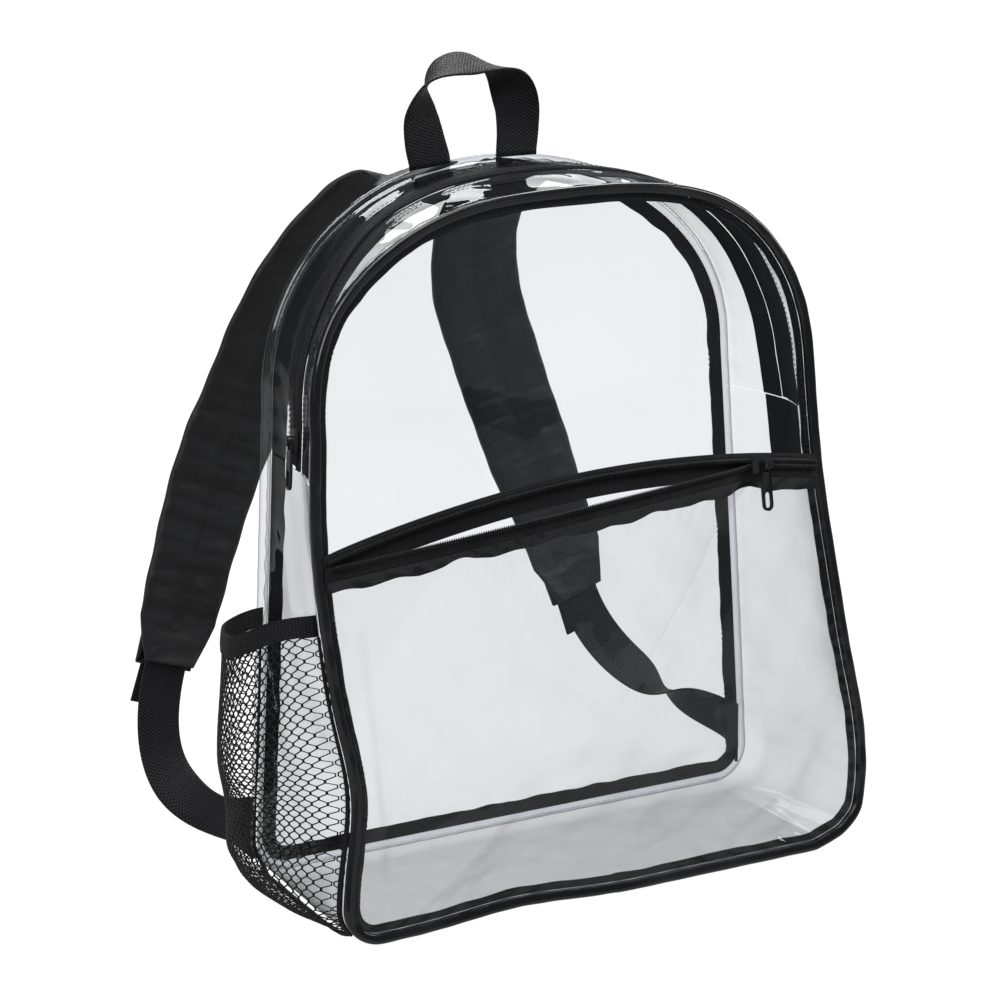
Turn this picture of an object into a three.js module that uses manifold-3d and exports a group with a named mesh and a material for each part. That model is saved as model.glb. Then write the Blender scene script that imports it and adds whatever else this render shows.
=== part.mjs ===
// A clear stadium backpack: glossy clear PVC panels, black piping, zippers, webbing and padded straps.
// Millimetres, +Z up, the front faces -Y, and X runs to the right as seen from the front.
import * as THREE from "three";
import { mergeVertices } from "three/addons/utils/BufferGeometryUtils.js";
import Module from "manifold-3d";

const wasm = await Module();
wasm.setup();

// Body
const PANEL_HEIGHT = 381; // front panel, along its own slope, outside the piping
const BASE_WIDTH = 329;
const SHOULDER_WIDTH = 309; // where the sides end and the arch begins
const SHOULDER_HEIGHT = 261;
const CORNER_RADIUS = 18;
const FRONT_ARCH_FULLNESS = 2.6; // exponent of the arch's superellipse: 2 is an ellipse
const FRONT_LEAN = THREE.MathUtils.degToRad(10); // the front panel leans back
const BASE_DEPTH = 122;
const BACK_BASE_WIDTH = 320;
const BACK_SHOULDER_WIDTH = 292;
const BACK_HEIGHT = 380;
const BACK_ARCH_FULLNESS = 2.15;
const BACK_BOW = 27; // the back's middle stands this much further back at the top than its sides
const FRONT_SWELL = 7; // how far the panels' middles swell out of their seams
const BACK_SWELL = 5;
const SHEET = 1.2; // clear PVC
const CLEARANCE = 0.3;

// Seams
const PIPING_DIAMETER = 6;
const PIPING_SIDES = 6;
const SEAM_TAPE_WIDTH = 9;
const SEAM_TAPE_THICKNESS = 1;

// Zippers
const COIL_WIDTH = 6;
const COIL_THICKNESS = 2.2;
const ZIP_TAPE_WIDTH = 12;
const ZIP_TAPE_THICKNESS = 0.8;
const ZIP_TAPE_RIM = 3; // of the pocket's upper tape that shows above its coil
const ZIP_STRIP_OVERLAP = 7; // the clear strip covers this much of the tape
const SLIDER_LENGTH = 13;
const SLIDER_WIDTH = 9.5;
const SLIDER_THICKNESS = 1.6;
const SLIDER_NOSE = 0.62; // share of its width at its narrow end
const BRIDGE_WIDTH = 1.8;
const BRIDGE_BAR = 0.9; // how thick the bridge over the pull's rod is
const BRIDGE_ROOM = 1.1; // free room round the pull's rod inside the bridge
const PULL_LENGTH = 26; // below the rod that it turns on
const PULL_WIDTH = 6.5;
const PULL_THICKNESS = 1.5;
const PULL_EYE_WIDTH = 3.1; // the eye that the bridge's foot passes through
const PULL_EYE_LENGTH = 3.9;
const PULL_SLOT_LENGTH = 9; // the oval hole near the pull's lower end
const PULL_SLOT_WIDTH = 3.4;
const PULL_RIM = 1.5;
const MAIN_ZIP_END = 0.62; // share of half the outline, from the bottom's middle, where the zipper ends
const MAIN_SLIDER_AT = 0.645;

// Front pocket
const POCKET_HEIGHT = 223; // the zipper's highest point, along the front panel
const POCKET_RISE = 27; // how far the zipper's arch falls to its left end
const POCKET_CREST = 25; // the arch's crest is this far right of the middle
const POCKET_SWELL = 15;
const POCKET_MOUTH = 11; // the open zipper's gape
const POCKET_SLIDER_X = 107;

// Mesh side pocket
const MESH_THICKNESS = 1;
const MESH_SWELL = 40; // kept open by the elastic, wide enough for a drinks flask
const ELASTIC_HEIGHT = 11;
const ELASTIC_THICKNESS = 1.8;
const MESH_EDGE = 0.03; // share of the gusset's width that stays free at each side

// Webbing, handle and straps
const WEBBING_WIDTH = 25;
const WEBBING_THICKNESS = 1.8;
const HANDLE_SPREAD = 54; // between the feet's middles
const HANDLE_PLACE = -5; // from the middle of the bag to the middle of the feet
const HANDLE_LEAN = -5; // how much further over the crown leans
const HANDLE_RISE = 52;
const HANDLE_END = 9; // the sewn ends under the clear strip
const STRAP_WIDTH = 54;
const STRAP_END_WIDTH = 47;
const STRAP_TIP_WIDTH = 30;
const STRAP_TIP_FULLNESS = 0.5; // share of the strap's thickness
const STRAP_TIP = 25; // the tapered tip that hangs over the adjuster
const STRAP_THICKNESS = 7;
const STRAP_ROOT = 36; // from the middle of the back to the middle of a strap's root
const STRAP_ROOT_WIDTH = 50;
const ADJUSTER_WIDTH = 34;
const ADJUSTER_BAR = 4;
const ADJUSTER_SLOT = 6.6;
const ADJUSTER_THICKNESS = 3;
const WEBBING_TAIL = 22;
const TAB_HEIGHT = 36;
const TAB_FOOT = 5; // the tab's lower end above the seam's foot
const TAB_REACH = 18;

const LOOP_LENGTH = 1250; // about, round a panel's outline

// How many steps each stretch of the outline has, over one half
const STEPS = { bottom: 5, corner: 4, side: 9, arch: 15 };
// Where each stretch ends, as a share of half the outline from the bottom's middle
const STRETCH_ENDS = { bottom: 0.235, corner: 0.28, side: 0.66, arch: 1 };

// Where the front seam is dented. along: share of the whole outline, from the bottom's middle to the
// right, over the top and back; out: share of the base width, inward if negative; spread: share of the
// outline.
const FRONT_DENTS = [
  { along: 0.07, out: 0.01, spread: 0.04 },
  { along: 0.127, out: -0.022, spread: 0.018 },
  { along: 0.175, out: 0.012, spread: 0.03 },
  { along: 0.29, out: -0.012, spread: 0.05 },
  { along: 0.43, out: 0.01, spread: 0.04 },
  { along: 0.58, out: -0.01, spread: 0.04 },
  { along: 0.71, out: 0.016, spread: 0.045 },
  { along: 0.815, out: -0.028, spread: 0.032 },
  { along: 0.95, out: -0.012, spread: 0.035 },
];

// How far the gusset stands out between its seams, as a share of the base depth, by height as a share
// of half the outline. The left is the mesh pocket's side.
const GUSSET_SWELL = [
  { along: 0.3, left: 0.05, right: 0.07 },
  { along: 0.45, left: 0.04, right: 0.13 },
  { along: 0.6, left: -0.04, right: 0.12 },
  { along: 0.75, left: -0.05, right: 0.05 },
  { along: 0.9, left: 0.02, right: 0.03 },
  { along: 1, left: 0.03, right: 0.03 },
];

// The mesh pocket's mouth: its height above the floor, as a share of the panel's, across the gusset.
const MESH_MOUTH = [
  { along: 0, height: 0.433 },
  { along: 0.5, height: 0.385 },
  { along: 1, height: 0.375 },
];

// How far the mesh stands off the gusset, as a share of MESH_SWELL, from its foot to its mouth.
const MESH_FORM = [
  { along: 0, swell: 0 },
  { along: 0.3, swell: 0.75 },
  { along: 0.65, swell: 1 },
  { along: 1, swell: 0.85 },
];

// The grab handle's middle line, from a foot to its crown. x: share of half the spread; height: share
// of the rise; turn: how far the webbing is twisted, 1 being a quarter turn.
const HANDLE_FORM = [
  { x: 1, height: 0, turn: 0 },
  { x: 1.08, height: 0.25, turn: 0.05 },
  { x: 1.1, height: 0.52, turn: 0.2 },
  { x: 0.92, height: 0.8, turn: 0.65 },
  { x: 0.5, height: 0.96, turn: 1.1 },
  { x: 0, height: 1, turn: 1.25 },
];

// The straps' middles, from root to lower end. x, y: shares of the base width and depth from the middle
// of the back's foot; height: share of the back's height.
const LEFT_STRAP = [
  { x: -0.13, y: 0.38, height: 0.965 },
  { x: -0.2, y: 0.5, height: 0.9 },
  { x: -0.29, y: 0.6, height: 0.785 },
  { x: -0.35, y: 0.67, height: 0.66 },
  { x: -0.42, y: 0.69, height: 0.52 },
  { x: -0.497, y: 0.65, height: 0.33 },
  { x: -0.523, y: 0.62, height: 0.26 },
];
const RIGHT_STRAP = [
  { x: 0.09, y: 0.35, height: 0.955 },
  { x: 0.066, y: 0.54, height: 0.885 },
  { x: 0.08, y: 0.67, height: 0.775 },
  { x: 0.13, y: 0.7, height: 0.64 },
  { x: 0.19, y: 0.68, height: 0.49 },
  { x: 0.255, y: 0.64, height: 0.33 },
  { x: 0.278, y: 0.61, height: 0.265 },
];

const black = new THREE.MeshStandardMaterial({ color: 0x17171a, roughness: 0.75, metalness: 0 });
const glossyBlack = new THREE.MeshStandardMaterial({ color: 0x0c0c0e, roughness: 0.25, metalness: 0 });
const blackMetal = new THREE.MeshStandardMaterial({ color: 0x151516, roughness: 0.35, metalness: 0.6 });
const blackPlastic = new THREE.MeshStandardMaterial({ color: 0x222225, roughness: 0.45, metalness: 0 });
const clear = new THREE.MeshStandardMaterial({
  color: 0xeef1f4,
  roughness: 0.05,
  metalness: 0,
  transparent: true,
  opacity: 0.25,
});

const { lerp, smoothstep } = THREE.MathUtils;
const vec = (x, y, z) => new THREE.Vector3(x, y, z);
const part = new THREE.Group();
const bag = new THREE.Group(); // shifted at the end, so that the part's origin is under its middle
part.add(bag);

// Adds a closed solid given as points and polygons of point numbers, with its faces turned outwards.
function addSolid(name, material, points, polygons, parent = bag) {
  const index = polygons.flatMap((p) => p.slice(2).flatMap((last, i) => [p[0], p[i + 1], last]));
  let volume = 0;
  for (let i = 0; i < index.length; i += 3) {
    const [a, b, c] = [0, 1, 2].map((k) => points[index[i + k]]);
    volume += a.dot(b.clone().cross(c));
  }
  if (volume < 0) index.reverse();
  const geometry = new THREE.BufferGeometry().setFromPoints(points).setIndex(index);
  geometry.computeVertexNormals();
  const mesh = new THREE.Mesh(geometry, material);
  mesh.name = name;
  parent.add(mesh);
  return mesh;
}

// A solid through a row of like sections, each a ring of points. ring joins the last section to the first.
function addLoft(name, material, sections, { ring = false, parent = bag } = {}) {
  const n = sections[0].length;
  const last = sections.length - (ring ? 0 : 1);
  const polygons = [];
  for (let i = 0; i < last; i++) {
    const [a, b] = [i * n, ((i + 1) % sections.length) * n];
    for (let j = 0; j < n; j++) {
      const k = (j + 1) % n;
      polygons.push([a + j, a + k, b + k, b + j]);
    }
  }
  if (!ring) {
    const end = (sections.length - 1) * n;
    const half = n / 2;
    for (let j = 0; j < half - 1; j++) {
      polygons.push([j + 1, j, n - 1 - j, n - 2 - j]);
      polygons.push([end + j, end + j + 1, end + n - 2 - j, end + n - 1 - j]);
    }
  }
  return addSolid(name, material, sections.flat(), polygons, parent);
}

// A sheet's section: the outer row, then the inner row back again.
const sheetSection = (outer, inner) => [...outer, ...inner.slice().reverse()];

// A value from a table's column, eased between the rows.
function fromTable(rows, column, along) {
  if (along <= rows[0].along) return rows[0][column];
  for (let i = 1; i < rows.length; i++) {
    if (along <= rows[i].along) {
      const [a, b] = [rows[i - 1], rows[i]];
      return lerp(a[column], b[column], smoothstep(along, a.along, b.along));
    }
  }
  return rows[rows.length - 1][column];
}

// A point of a panel's outline at a share of the whole loop, as [across, height].
function outlinePoint(shape, share) {
  const loop = share - Math.floor(share);
  const side = loop <= 0.5 ? 1 : -1;
  const half = loop <= 0.5 ? 2 * loop : 2 - 2 * loop;
  const { base, shoulder, shoulderHeight, height, corner, fullness } = shape;
  const { bottom, corner: cornerEnd, side: sideEnd } = STRETCH_ENDS;
  if (half <= bottom) return [side * (base - corner) * (half / bottom), 0];
  if (half <= cornerEnd) {
    const turn = (Math.PI / 2) * ((half - bottom) / (cornerEnd - bottom));
    return [side * (base - corner + corner * Math.sin(turn)), corner - corner * Math.cos(turn)];
  }
  if (half <= sideEnd) {
    const up = (half - cornerEnd) / (sideEnd - cornerEnd);
    return [side * lerp(base, shoulder, up), lerp(corner, shoulderHeight, up)];
  }
  const turn = (Math.PI / 2) * ((half - sideEnd) / (1 - sideEnd));
  return [
    side * shoulder * Math.cos(turn) ** (2 / fullness),
    shoulderHeight + (height - shoulderHeight) * Math.sin(turn) ** (2 / fullness),
  ];
}

const PIPING = PIPING_DIAMETER / 2;
const SEAM_FOOT = PIPING + CLEARANCE; // the piping's middle above the floor
const SEAM_EDGE = PIPING + CLEARANCE; // where sheets end beside the piping's middle
const frontShape = {
  base: BASE_WIDTH / 2 - PIPING,
  shoulder: SHOULDER_WIDTH / 2 - PIPING,
  shoulderHeight: SHOULDER_HEIGHT,
  height: PANEL_HEIGHT - PIPING_DIAMETER,
  corner: CORNER_RADIUS,
  fullness: FRONT_ARCH_FULLNESS,
};
const backShape = {
  base: BACK_BASE_WIDTH / 2 - PIPING,
  shoulder: BACK_SHOULDER_WIDTH / 2 - PIPING,
  shoulderHeight: SHOULDER_HEIGHT,
  height: BACK_HEIGHT - PIPING_DIAMETER,
  corner: CORNER_RADIUS,
  fullness: BACK_ARCH_FULLNESS,
};
const frontFace = vec(0, -Math.cos(FRONT_LEAN), Math.sin(FRONT_LEAN));

// A point of the front panel's plane, from its place across and up the panel, lifted off it by lift.
const onFront = (across, height, lift = 0) =>
  vec(across, height * Math.sin(FRONT_LEAN), SEAM_FOOT + height * Math.cos(FRONT_LEAN)).addScaledVector(
    frontFace,
    lift,
  );

// How far apart two shares of the loop lie, either way round.
const loopDistance = (a, b) => {
  const apart = Math.abs(a - b) % 1;
  return Math.min(apart, 1 - apart);
};

const frontDent = (share) =>
  BASE_WIDTH *
  FRONT_DENTS.reduce(
    (sum, { along, out, spread }) => sum + out * Math.exp(-((loopDistance(share, along) / spread) ** 2)),
    0,
  );

// The front seam with its dents, and the back seam with its bow, as points in space.
function frontSeamPoint(share) {
  const nudge = 0.002;
  const [a, b] = outlinePoint(frontShape, share);
  const [a0, b0] = outlinePoint(frontShape, share - nudge);
  const [a1, b1] = outlinePoint(frontShape, share + nudge);
  const length = Math.hypot(a1 - a0, b1 - b0);
  const dent = frontDent(share);
  const height = Math.max(0, b - (dent * (a1 - a0)) / length);
  return onFront(a + (dent * (b1 - b0)) / length, height);
}

function backSeamPoint(share) {
  const [a, b] = outlinePoint(backShape, share);
  const bow = BACK_BOW * (b / BACK_HEIGHT) * Math.max(0, 1 - (a / backShape.base) ** 2);
  return vec(a, BASE_DEPTH + bow, SEAM_FOOT + b);
}

// A seam at a share of the loop: its point, the direction out of the outline, and out of the panel.
function seamAt(pointAt, facing, share) {
  const nudge = 0.004;
  const point = pointAt(share);
  const along = pointAt(share + nudge).sub(pointAt(share - nudge)).normalize();
  const out = along.clone().cross(facing).normalize();
  if (out.dot(point.clone().sub(vec(0, point.y, PANEL_HEIGHT / 2))) < 0) out.negate();
  const face = out.clone().cross(along).normalize();
  if (face.dot(facing) < 0) face.negate();
  return { point, out, face, along };
}
const frontSeam = (share) => seamAt(frontSeamPoint, frontFace, share);
const backSeam = (share) => seamAt(backSeamPoint, vec(0, 1, 0), share);

// Shares of the loop at its steps, from the bottom's middle right round.
function loopShares() {
  const half = [];
  let start = 0;
  for (const [stretch, count] of Object.entries(STEPS)) {
    const end = STRETCH_ENDS[stretch];
    for (let i = 0; i < count; i++) half.push(lerp(start, end, i / count) / 2);
    start = end;
  }
  return [...half, 0.5, ...half.slice(1).reverse().map((s) => 1 - s)];
}
const LOOP = loopShares();

// A point beside a seam: out of the outline and out of the panel.
const besideSeam = ({ point, out, face }, outward, forward) =>
  point.clone().addScaledVector(out, outward).addScaledVector(face, forward);

function addPiping(name, material, seam) {
  const sections = LOOP.map((share) => {
    const at = seam(share);
    return Array.from({ length: PIPING_SIDES }, (_, i) => {
      const turn = ((i + 0.5) / PIPING_SIDES) * 2 * Math.PI;
      return besideSeam(at, PIPING * Math.cos(turn), PIPING * Math.sin(turn));
    });
  });
  addLoft(name, material, sections, { ring: true });
}

// The black tape that binds a seam, flat behind the panel's edge.
function addSeamTape(name, seam) {
  const top = -SHEET / 2 - 2.5 * CLEARANCE;
  const bottom = top - SEAM_TAPE_THICKNESS;
  const inner = -SEAM_EDGE - SEAM_TAPE_WIDTH;
  const sections = LOOP.map((share) => {
    const at = seam(share);
    return [
      besideSeam(at, -SEAM_EDGE, top),
      besideSeam(at, inner, top),
      besideSeam(at, inner, bottom),
      besideSeam(at, -SEAM_EDGE, bottom),
    ];
  });
  addLoft(name, black, sections, { ring: true });
}

// A panel: rings of points from its edge in to its middle, swelling on the way. hem, if given, is a ring
// inside the edge from which the swell starts.
function addPanel(name, { edge, hem = edge, middle, swellAt, face, rings }) {
  const n = edge.length;
  const levels = hem === edge ? [] : [edge];
  for (let ring = 0; ring < rings; ring++) {
    const inward = ring / rings;
    const level = hem.map((p) => p.clone().lerp(middle, inward));
    levels.push(level.map((p) => p.clone().addScaledVector(face, swellAt(inward, p))));
  }
  const crown = middle.clone().addScaledVector(face, swellAt(1, middle));
  const points = [SHEET / 2, -SHEET / 2].flatMap((off) =>
    [...levels.flat(), crown].map((p) => p.clone().addScaledVector(face, off)),
  );
  const polygons = [];
  const perSide = n * levels.length + 1;
  for (const side of [0, 1]) {
    const start = side * perSide;
    const turned = (polygon) => (side ? polygon.slice().reverse() : polygon);
    for (let j = 0; j < n; j++) {
      const k = (j + 1) % n;
      for (let level = 0; level < levels.length - 1; level++) {
        const [a, b] = [start + level * n, start + (level + 1) * n];
        polygons.push(turned([a + j, a + k, b + k, b + j]));
      }
      const inmost = start + (levels.length - 1) * n;
      polygons.push(turned([inmost + j, inmost + k, start + perSide - 1]));
    }
  }
  for (let j = 0; j < n; j++) {
    const k = (j + 1) % n;
    polygons.push([k, j, perSide + j, perSide + k]);
  }
  addSolid(name, clear, points, polygons);
}

const panelSwell = (most) => (inward) => most * Math.sin((Math.PI / 2) * inward) ** 1.5;

// The front panel's swell at a place on it, so that what is sewn to it follows it.
function frontSwellAt(across, height) {
  const dx = across / (frontShape.shoulder - SEAM_EDGE);
  const dz = (height - PANEL_HEIGHT / 2) / (PANEL_HEIGHT / 2 - SEAM_EDGE);
  const inward = Math.max(0, 1 - Math.hypot(dx ** 2, dz ** 2));
  return panelSwell(FRONT_SWELL)(inward);
}

function addPanels() {
  const frontEdge = LOOP.map((s) => besideSeam(frontSeam(s), -SEAM_EDGE, 0));
  const heightOf = (p) => (p.z - SEAM_FOOT) / Math.cos(FRONT_LEAN);
  const swell = (inward, p) => (inward === 0 ? 0 : frontSwellAt(p.x, heightOf(p)));
  addPanel("front_panel", {
    edge: frontEdge,
    middle: onFront(0, PANEL_HEIGHT / 2),
    swellAt: swell,
    face: frontFace,
    rings: 6,
  });
  const backEdge = LOOP.map((s) => besideSeam(backSeam(s), -SEAM_EDGE, 0));
  addPanel("back_panel", {
    edge: backEdge,
    middle: vec(0, BASE_DEPTH + BACK_BOW / 2, BACK_HEIGHT / 2),
    swellAt: panelSwell(BACK_SWELL),
    face: vec(0, 1, 0),
    rings: 3,
  });
}

// The gusset between the seams, as a surface: share round the loop, across from 0 at the front to 1 at
// the back, and lift out of its outer face.
const GUSSET_FLAT = 0.12; // share of the width in which the gusset reaches its full swell
function gussetSwell(share) {
  const loop = share - Math.floor(share);
  const side = loop <= 0.5 ? "right" : "left";
  const half = loop <= 0.5 ? 2 * loop : 2 - 2 * loop;
  const floor = SEAM_FOOT - SHEET / 2;
  const first = GUSSET_SWELL[0].along;
  const { bottom } = STRETCH_ENDS;
  const body = BASE_DEPTH * fromTable(GUSSET_SWELL, side, Math.max(half, first));
  return half < first ? lerp(floor, body, smoothstep(half, bottom, first)) : body;
}

function gussetPoint(share, across, lift = 0) {
  const [front, back] = [frontSeam(share), backSeam(share)];
  const start = besideSeam(front, 0, -SEAM_EDGE);
  const end = besideSeam(back, 0, -SEAM_EDGE);
  const out = front.out.clone().add(back.out).normalize();
  const edge = Math.min(across, 1 - across);
  const rounded = Math.sin((Math.PI / 2) * Math.min(1, edge / GUSSET_FLAT));
  const loop = share - Math.floor(share);
  const half = loop <= 0.5 ? 2 * loop : 2 - 2 * loop;
  const round = Math.sin(Math.PI * across);
  const profile = lerp(rounded, round, smoothstep(half, STRETCH_ENDS.bottom, 0.4));
  const at = start.clone().lerp(end, across);
  const floorDrop = at.z - SHEET / 2;
  const swell = half <= STRETCH_ENDS.bottom ? floorDrop * rounded : gussetSwell(share) * profile;
  return at.addScaledVector(out, swell + lift);
}

// A strip of the gusset over a range of the loop. lines: the places across it, each a number or a
// function of the share.
function addGussetStrip(name, material, shares, lines, thickness, lift = 0) {
  const sections = shares.map((share) => {
    const places = lines.map((line) => (typeof line === "number" ? line : line(share)));
    const row = (offset) => places.map((across) => gussetPoint(share, across, lift + offset));
    return sheetSection(row(thickness / 2), row(-thickness / 2));
  });
  return addLoft(name, material, sections);
}

// Shares of the loop from one place to another, with the loop's own steps between them.
function sharesBetween(from, to) {
  const steps = [-1, 0, 1].flatMap((turn) => LOOP.map((s) => s + turn));
  return [from, ...steps.filter((s) => s > from + 0.004 && s < to - 0.004), to];
}

const gussetWidth = (share) => gussetPoint(share, 0).distanceTo(gussetPoint(share, 1));
const ZIP_ACROSS = 0.52; // the main zipper's middle, as a share of the gusset's width
const fromZip = (distance) => (share) => ZIP_ACROSS + distance / gussetWidth(share);

const GUSSET_LINES = [0, 1, 2, 3, 4, 5, 6, 7, 8].map((i) => i / 8);

function addGusset() {
  const seamGap = CLEARANCE / LOOP_LENGTH;
  const zipEnd = MAIN_ZIP_END / 2;
  const lower = sharesBetween(-zipEnd + seamGap, zipEnd - seamGap);
  addGussetStrip("lower_gusset", clear, lower, GUSSET_LINES, SHEET);
  const arch = sharesBetween(zipEnd + seamGap, 1 - zipEnd - seamGap);
  const coilEdge = COIL_WIDTH / 2 + CLEARANCE;
  const tapeEdge = coilEdge + ZIP_TAPE_WIDTH;
  const stripEdge = tapeEdge - ZIP_STRIP_OVERLAP;
  const front = [0, (share) => fromZip(-tapeEdge)(share) / 2, fromZip(-tapeEdge), fromZip(-stripEdge)];
  const back = [fromZip(stripEdge), fromZip(tapeEdge), (share) => (1 + fromZip(tapeEdge)(share)) / 2, 1];
  addGussetStrip("zip_gusset_front", clear, arch, front, SHEET);
  addGussetStrip("zip_gusset_back", clear, arch, back, SHEET);
  const under = -(SHEET + ZIP_TAPE_THICKNESS) / 2 - 2 * CLEARANCE;
  const tape = (name, from, to) =>
    addGussetStrip(name, black, arch, [fromZip(from), fromZip(to)], ZIP_TAPE_THICKNESS, under);
  tape("main_zip_tape_front", -tapeEdge, -coilEdge);
  tape("main_zip_tape_back", coilEdge, tapeEdge);
  const half = COIL_WIDTH / 2;
  addGussetStrip("main_zip_coil", black, arch, [fromZip(-half), fromZip(half)], COIL_THICKNESS);
}

// Front pocket

// The zipper's line on the front panel: its height at a place across, and the seam's reach there.
const POCKET_ARCH_REACH = BASE_WIDTH / 2 + POCKET_CREST;
const pocketZipHeight = (across) =>
  POCKET_HEIGHT - POCKET_RISE * ((across - POCKET_CREST) / POCKET_ARCH_REACH) ** 2;

// How far the zipper's two halves gape at a place across: nothing from the slider on.
const GAPE_END = POCKET_SLIDER_X - SLIDER_LENGTH / 2;
function pocketGape(across, left) {
  if (across >= GAPE_END) return 0;
  const along = Math.max(0, (across - left) / (GAPE_END - left));
  return POCKET_MOUTH * Math.sin(Math.PI * along) ** 0.8;
}

// Where the front seam crosses the pocket's zipper on each side, as shares of the loop.
function seamShareAt(side) {
  let [low, high] = side > 0 ? [0.14, 0.33] : [0.67, 0.86];
  const above = (share) => {
    const p = frontSeamPoint(share);
    return (p.z - SEAM_FOOT) / Math.cos(FRONT_LEAN) > pocketZipHeight(p.x);
  };
  for (let i = 0; i < 30; i++) {
    const mid = (low + high) / 2;
    if (above(mid) === side > 0) high = mid;
    else low = mid;
  }
  return (low + high) / 2;
}
const POCKET_RIGHT = seamShareAt(1);
const POCKET_LEFT = seamShareAt(-1);
const pocketLeft = besideSeam(frontSeam(POCKET_LEFT), -SEAM_EDGE - CLEARANCE, 0).x;
const pocketRight = besideSeam(frontSeam(POCKET_RIGHT), -SEAM_EDGE - CLEARANCE, 0).x;

// Places across at which the pocket's bands are built: over the open part, at the slider, and past it.
const pocketStations = [
  ...Array.from({ length: 18 }, (_, i) => lerp(pocketLeft, GAPE_END, i / 18)),
  GAPE_END,
  POCKET_SLIDER_X + SLIDER_LENGTH / 2,
  lerp(POCKET_SLIDER_X + SLIDER_LENGTH / 2, pocketRight, 0.5),
  pocketRight,
];

// The layers on the front panel, each lying over the last with a clearance
const FLAP_LIFT = SHEET / 2 + 2 * CLEARANCE + ZIP_TAPE_THICKNESS / 2;
const TAPE_LIFT = FLAP_LIFT + ZIP_TAPE_THICKNESS + CLEARANCE;
const POCKET_SHEET_LIFT = TAPE_LIFT + ZIP_TAPE_THICKNESS / 2 + CLEARANCE + SHEET / 2;
const COIL_LIFT = TAPE_LIFT + ZIP_TAPE_THICKNESS / 2 + CLEARANCE + COIL_THICKNESS / 2;
const GAPE_FORWARD = 0.9; // the open lower half stands forward by this share of its gape

// A place below the pocket zipper's middle line, lifted off the front panel. hangs: it goes with the
// pocket's own sheet, and so follows the gape.
function besideZip(across, drop, lift, hangs) {
  const gape = hangs ? pocketGape(across, pocketLeft) : 0;
  const height = pocketZipHeight(across) - gape - drop;
  const seat = frontSwellAt(across, pocketZipHeight(across) - gape);
  return onFront(across, height, lift + gape * GAPE_FORWARD + seat);
}

// A band along the pocket's zipper. rows: [drop, lift] of its middle, from its top edge down.
function addPocketBand(name, rows, thickness, hangs) {
  const sections = pocketStations.map((across) => {
    const row = (out) => rows.map(([drop, lift]) => besideZip(across, drop, lift + out, hangs));
    return sheetSection(row(thickness / 2), row(-thickness / 2));
  });
  addLoft(name, black, sections);
}

function addPocket() {
  const half = COIL_WIDTH / 2;
  const joint = CLEARANCE / 2;
  // The upper tape steps back below its coil, where it lines the mouth.
  const upper = [
    [-half - ZIP_TAPE_RIM, TAPE_LIFT],
    [-joint, TAPE_LIFT],
    [half / 2, FLAP_LIFT],
    [ZIP_TAPE_WIDTH - half, FLAP_LIFT],
  ];
  const tapeFoot = half + ZIP_TAPE_WIDTH;
  const between = (top, foot, lift) => [
    [top, lift],
    [foot, lift],
  ];
  addPocketBand("pocket_zip_tape_upper", upper, ZIP_TAPE_THICKNESS, false);
  addPocketBand("pocket_zip_tape_lower", between(half, tapeFoot, TAPE_LIFT), ZIP_TAPE_THICKNESS, true);
  addPocketBand("pocket_zip_coil_upper", between(-half, -joint, COIL_LIFT), COIL_THICKNESS, false);
  addPocketBand("pocket_zip_coil_lower", between(joint, half, COIL_LIFT), COIL_THICKNESS, true);

  // The pocket's sheet starts over the lower tape and is flat as far as the tape reaches.
  const drop = tapeFoot - ZIP_STRIP_OVERLAP;
  const shareDrop = drop / LOOP_LENGTH;
  const shares = sharesBetween(POCKET_LEFT + shareDrop, 1 + POCKET_RIGHT - shareDrop);
  const seamRing = (inward) =>
    shares.map((share) => besideSeam(frontSeam(share), -SEAM_EDGE - inward, POCKET_SHEET_LIFT));
  const top = pocketStations.slice(1, -1).reverse();
  const zipRing = (down) => top.map((across) => besideZip(across, down, POCKET_SHEET_LIFT, true));
  const hemDepth = ZIP_STRIP_OVERLAP + CLEARANCE;
  const hemSeam = seamRing(hemDepth / 2);
  const reach = shares.length;
  hemSeam[0] = besideZip(pocketStations[0] + hemDepth / 2, drop + hemDepth, POCKET_SHEET_LIFT, true);
  hemSeam[reach - 1] = besideZip(pocketRight - hemDepth / 2, drop + hemDepth, POCKET_SHEET_LIFT, true);
  addPanel("pocket_panel", {
    edge: [...seamRing(CLEARANCE), ...zipRing(drop)],
    hem: [...hemSeam, ...zipRing(drop + hemDepth)],
    middle: onFront(0, POCKET_HEIGHT * 0.45, POCKET_SHEET_LIFT),
    swellAt: panelSwell(POCKET_SWELL),
    face: frontFace,
    rings: 4,
  });
}

// Metal: sliders and pulls

// A flat plate cut from an outline with holes, each a ring of [x, y], from z = 0 up.
function plate(outline, holes, thickness) {
  const ring = (points) => points.map(([x, y]) => new THREE.Vector2(x, y));
  const shape = new THREE.Shape(ring(outline));
  shape.holes = holes.map((hole) => new THREE.Path(ring(hole)));
  return new THREE.ExtrudeGeometry(shape, { depth: thickness, bevelEnabled: false });
}

const rectangle = (x0, x1, y0, y1) => [
  [x0, y0],
  [x1, y0],
  [x1, y1],
  [x0, y1],
];

const arc = (x, y, radius, from, to, steps = 6) =>
  Array.from({ length: steps + 1 }, (_, i) => {
    const turn = Math.PI * lerp(from, to, i / steps);
    return [x + radius * Math.cos(turn), y + radius * Math.sin(turn)];
  });

function solidFrom(geometry) {
  const bare = new THREE.BufferGeometry();
  bare.setAttribute("position", (geometry.index ? geometry.toNonIndexed() : geometry).attributes.position);
  const merged = mergeVertices(bare, 1e-4);
  const vertProperties = new Float32Array(merged.attributes.position.array);
  return new wasm.Manifold(
    new wasm.Mesh({ numProp: 3, vertProperties, triVerts: new Uint32Array(merged.index.array) }),
  );
}

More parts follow.
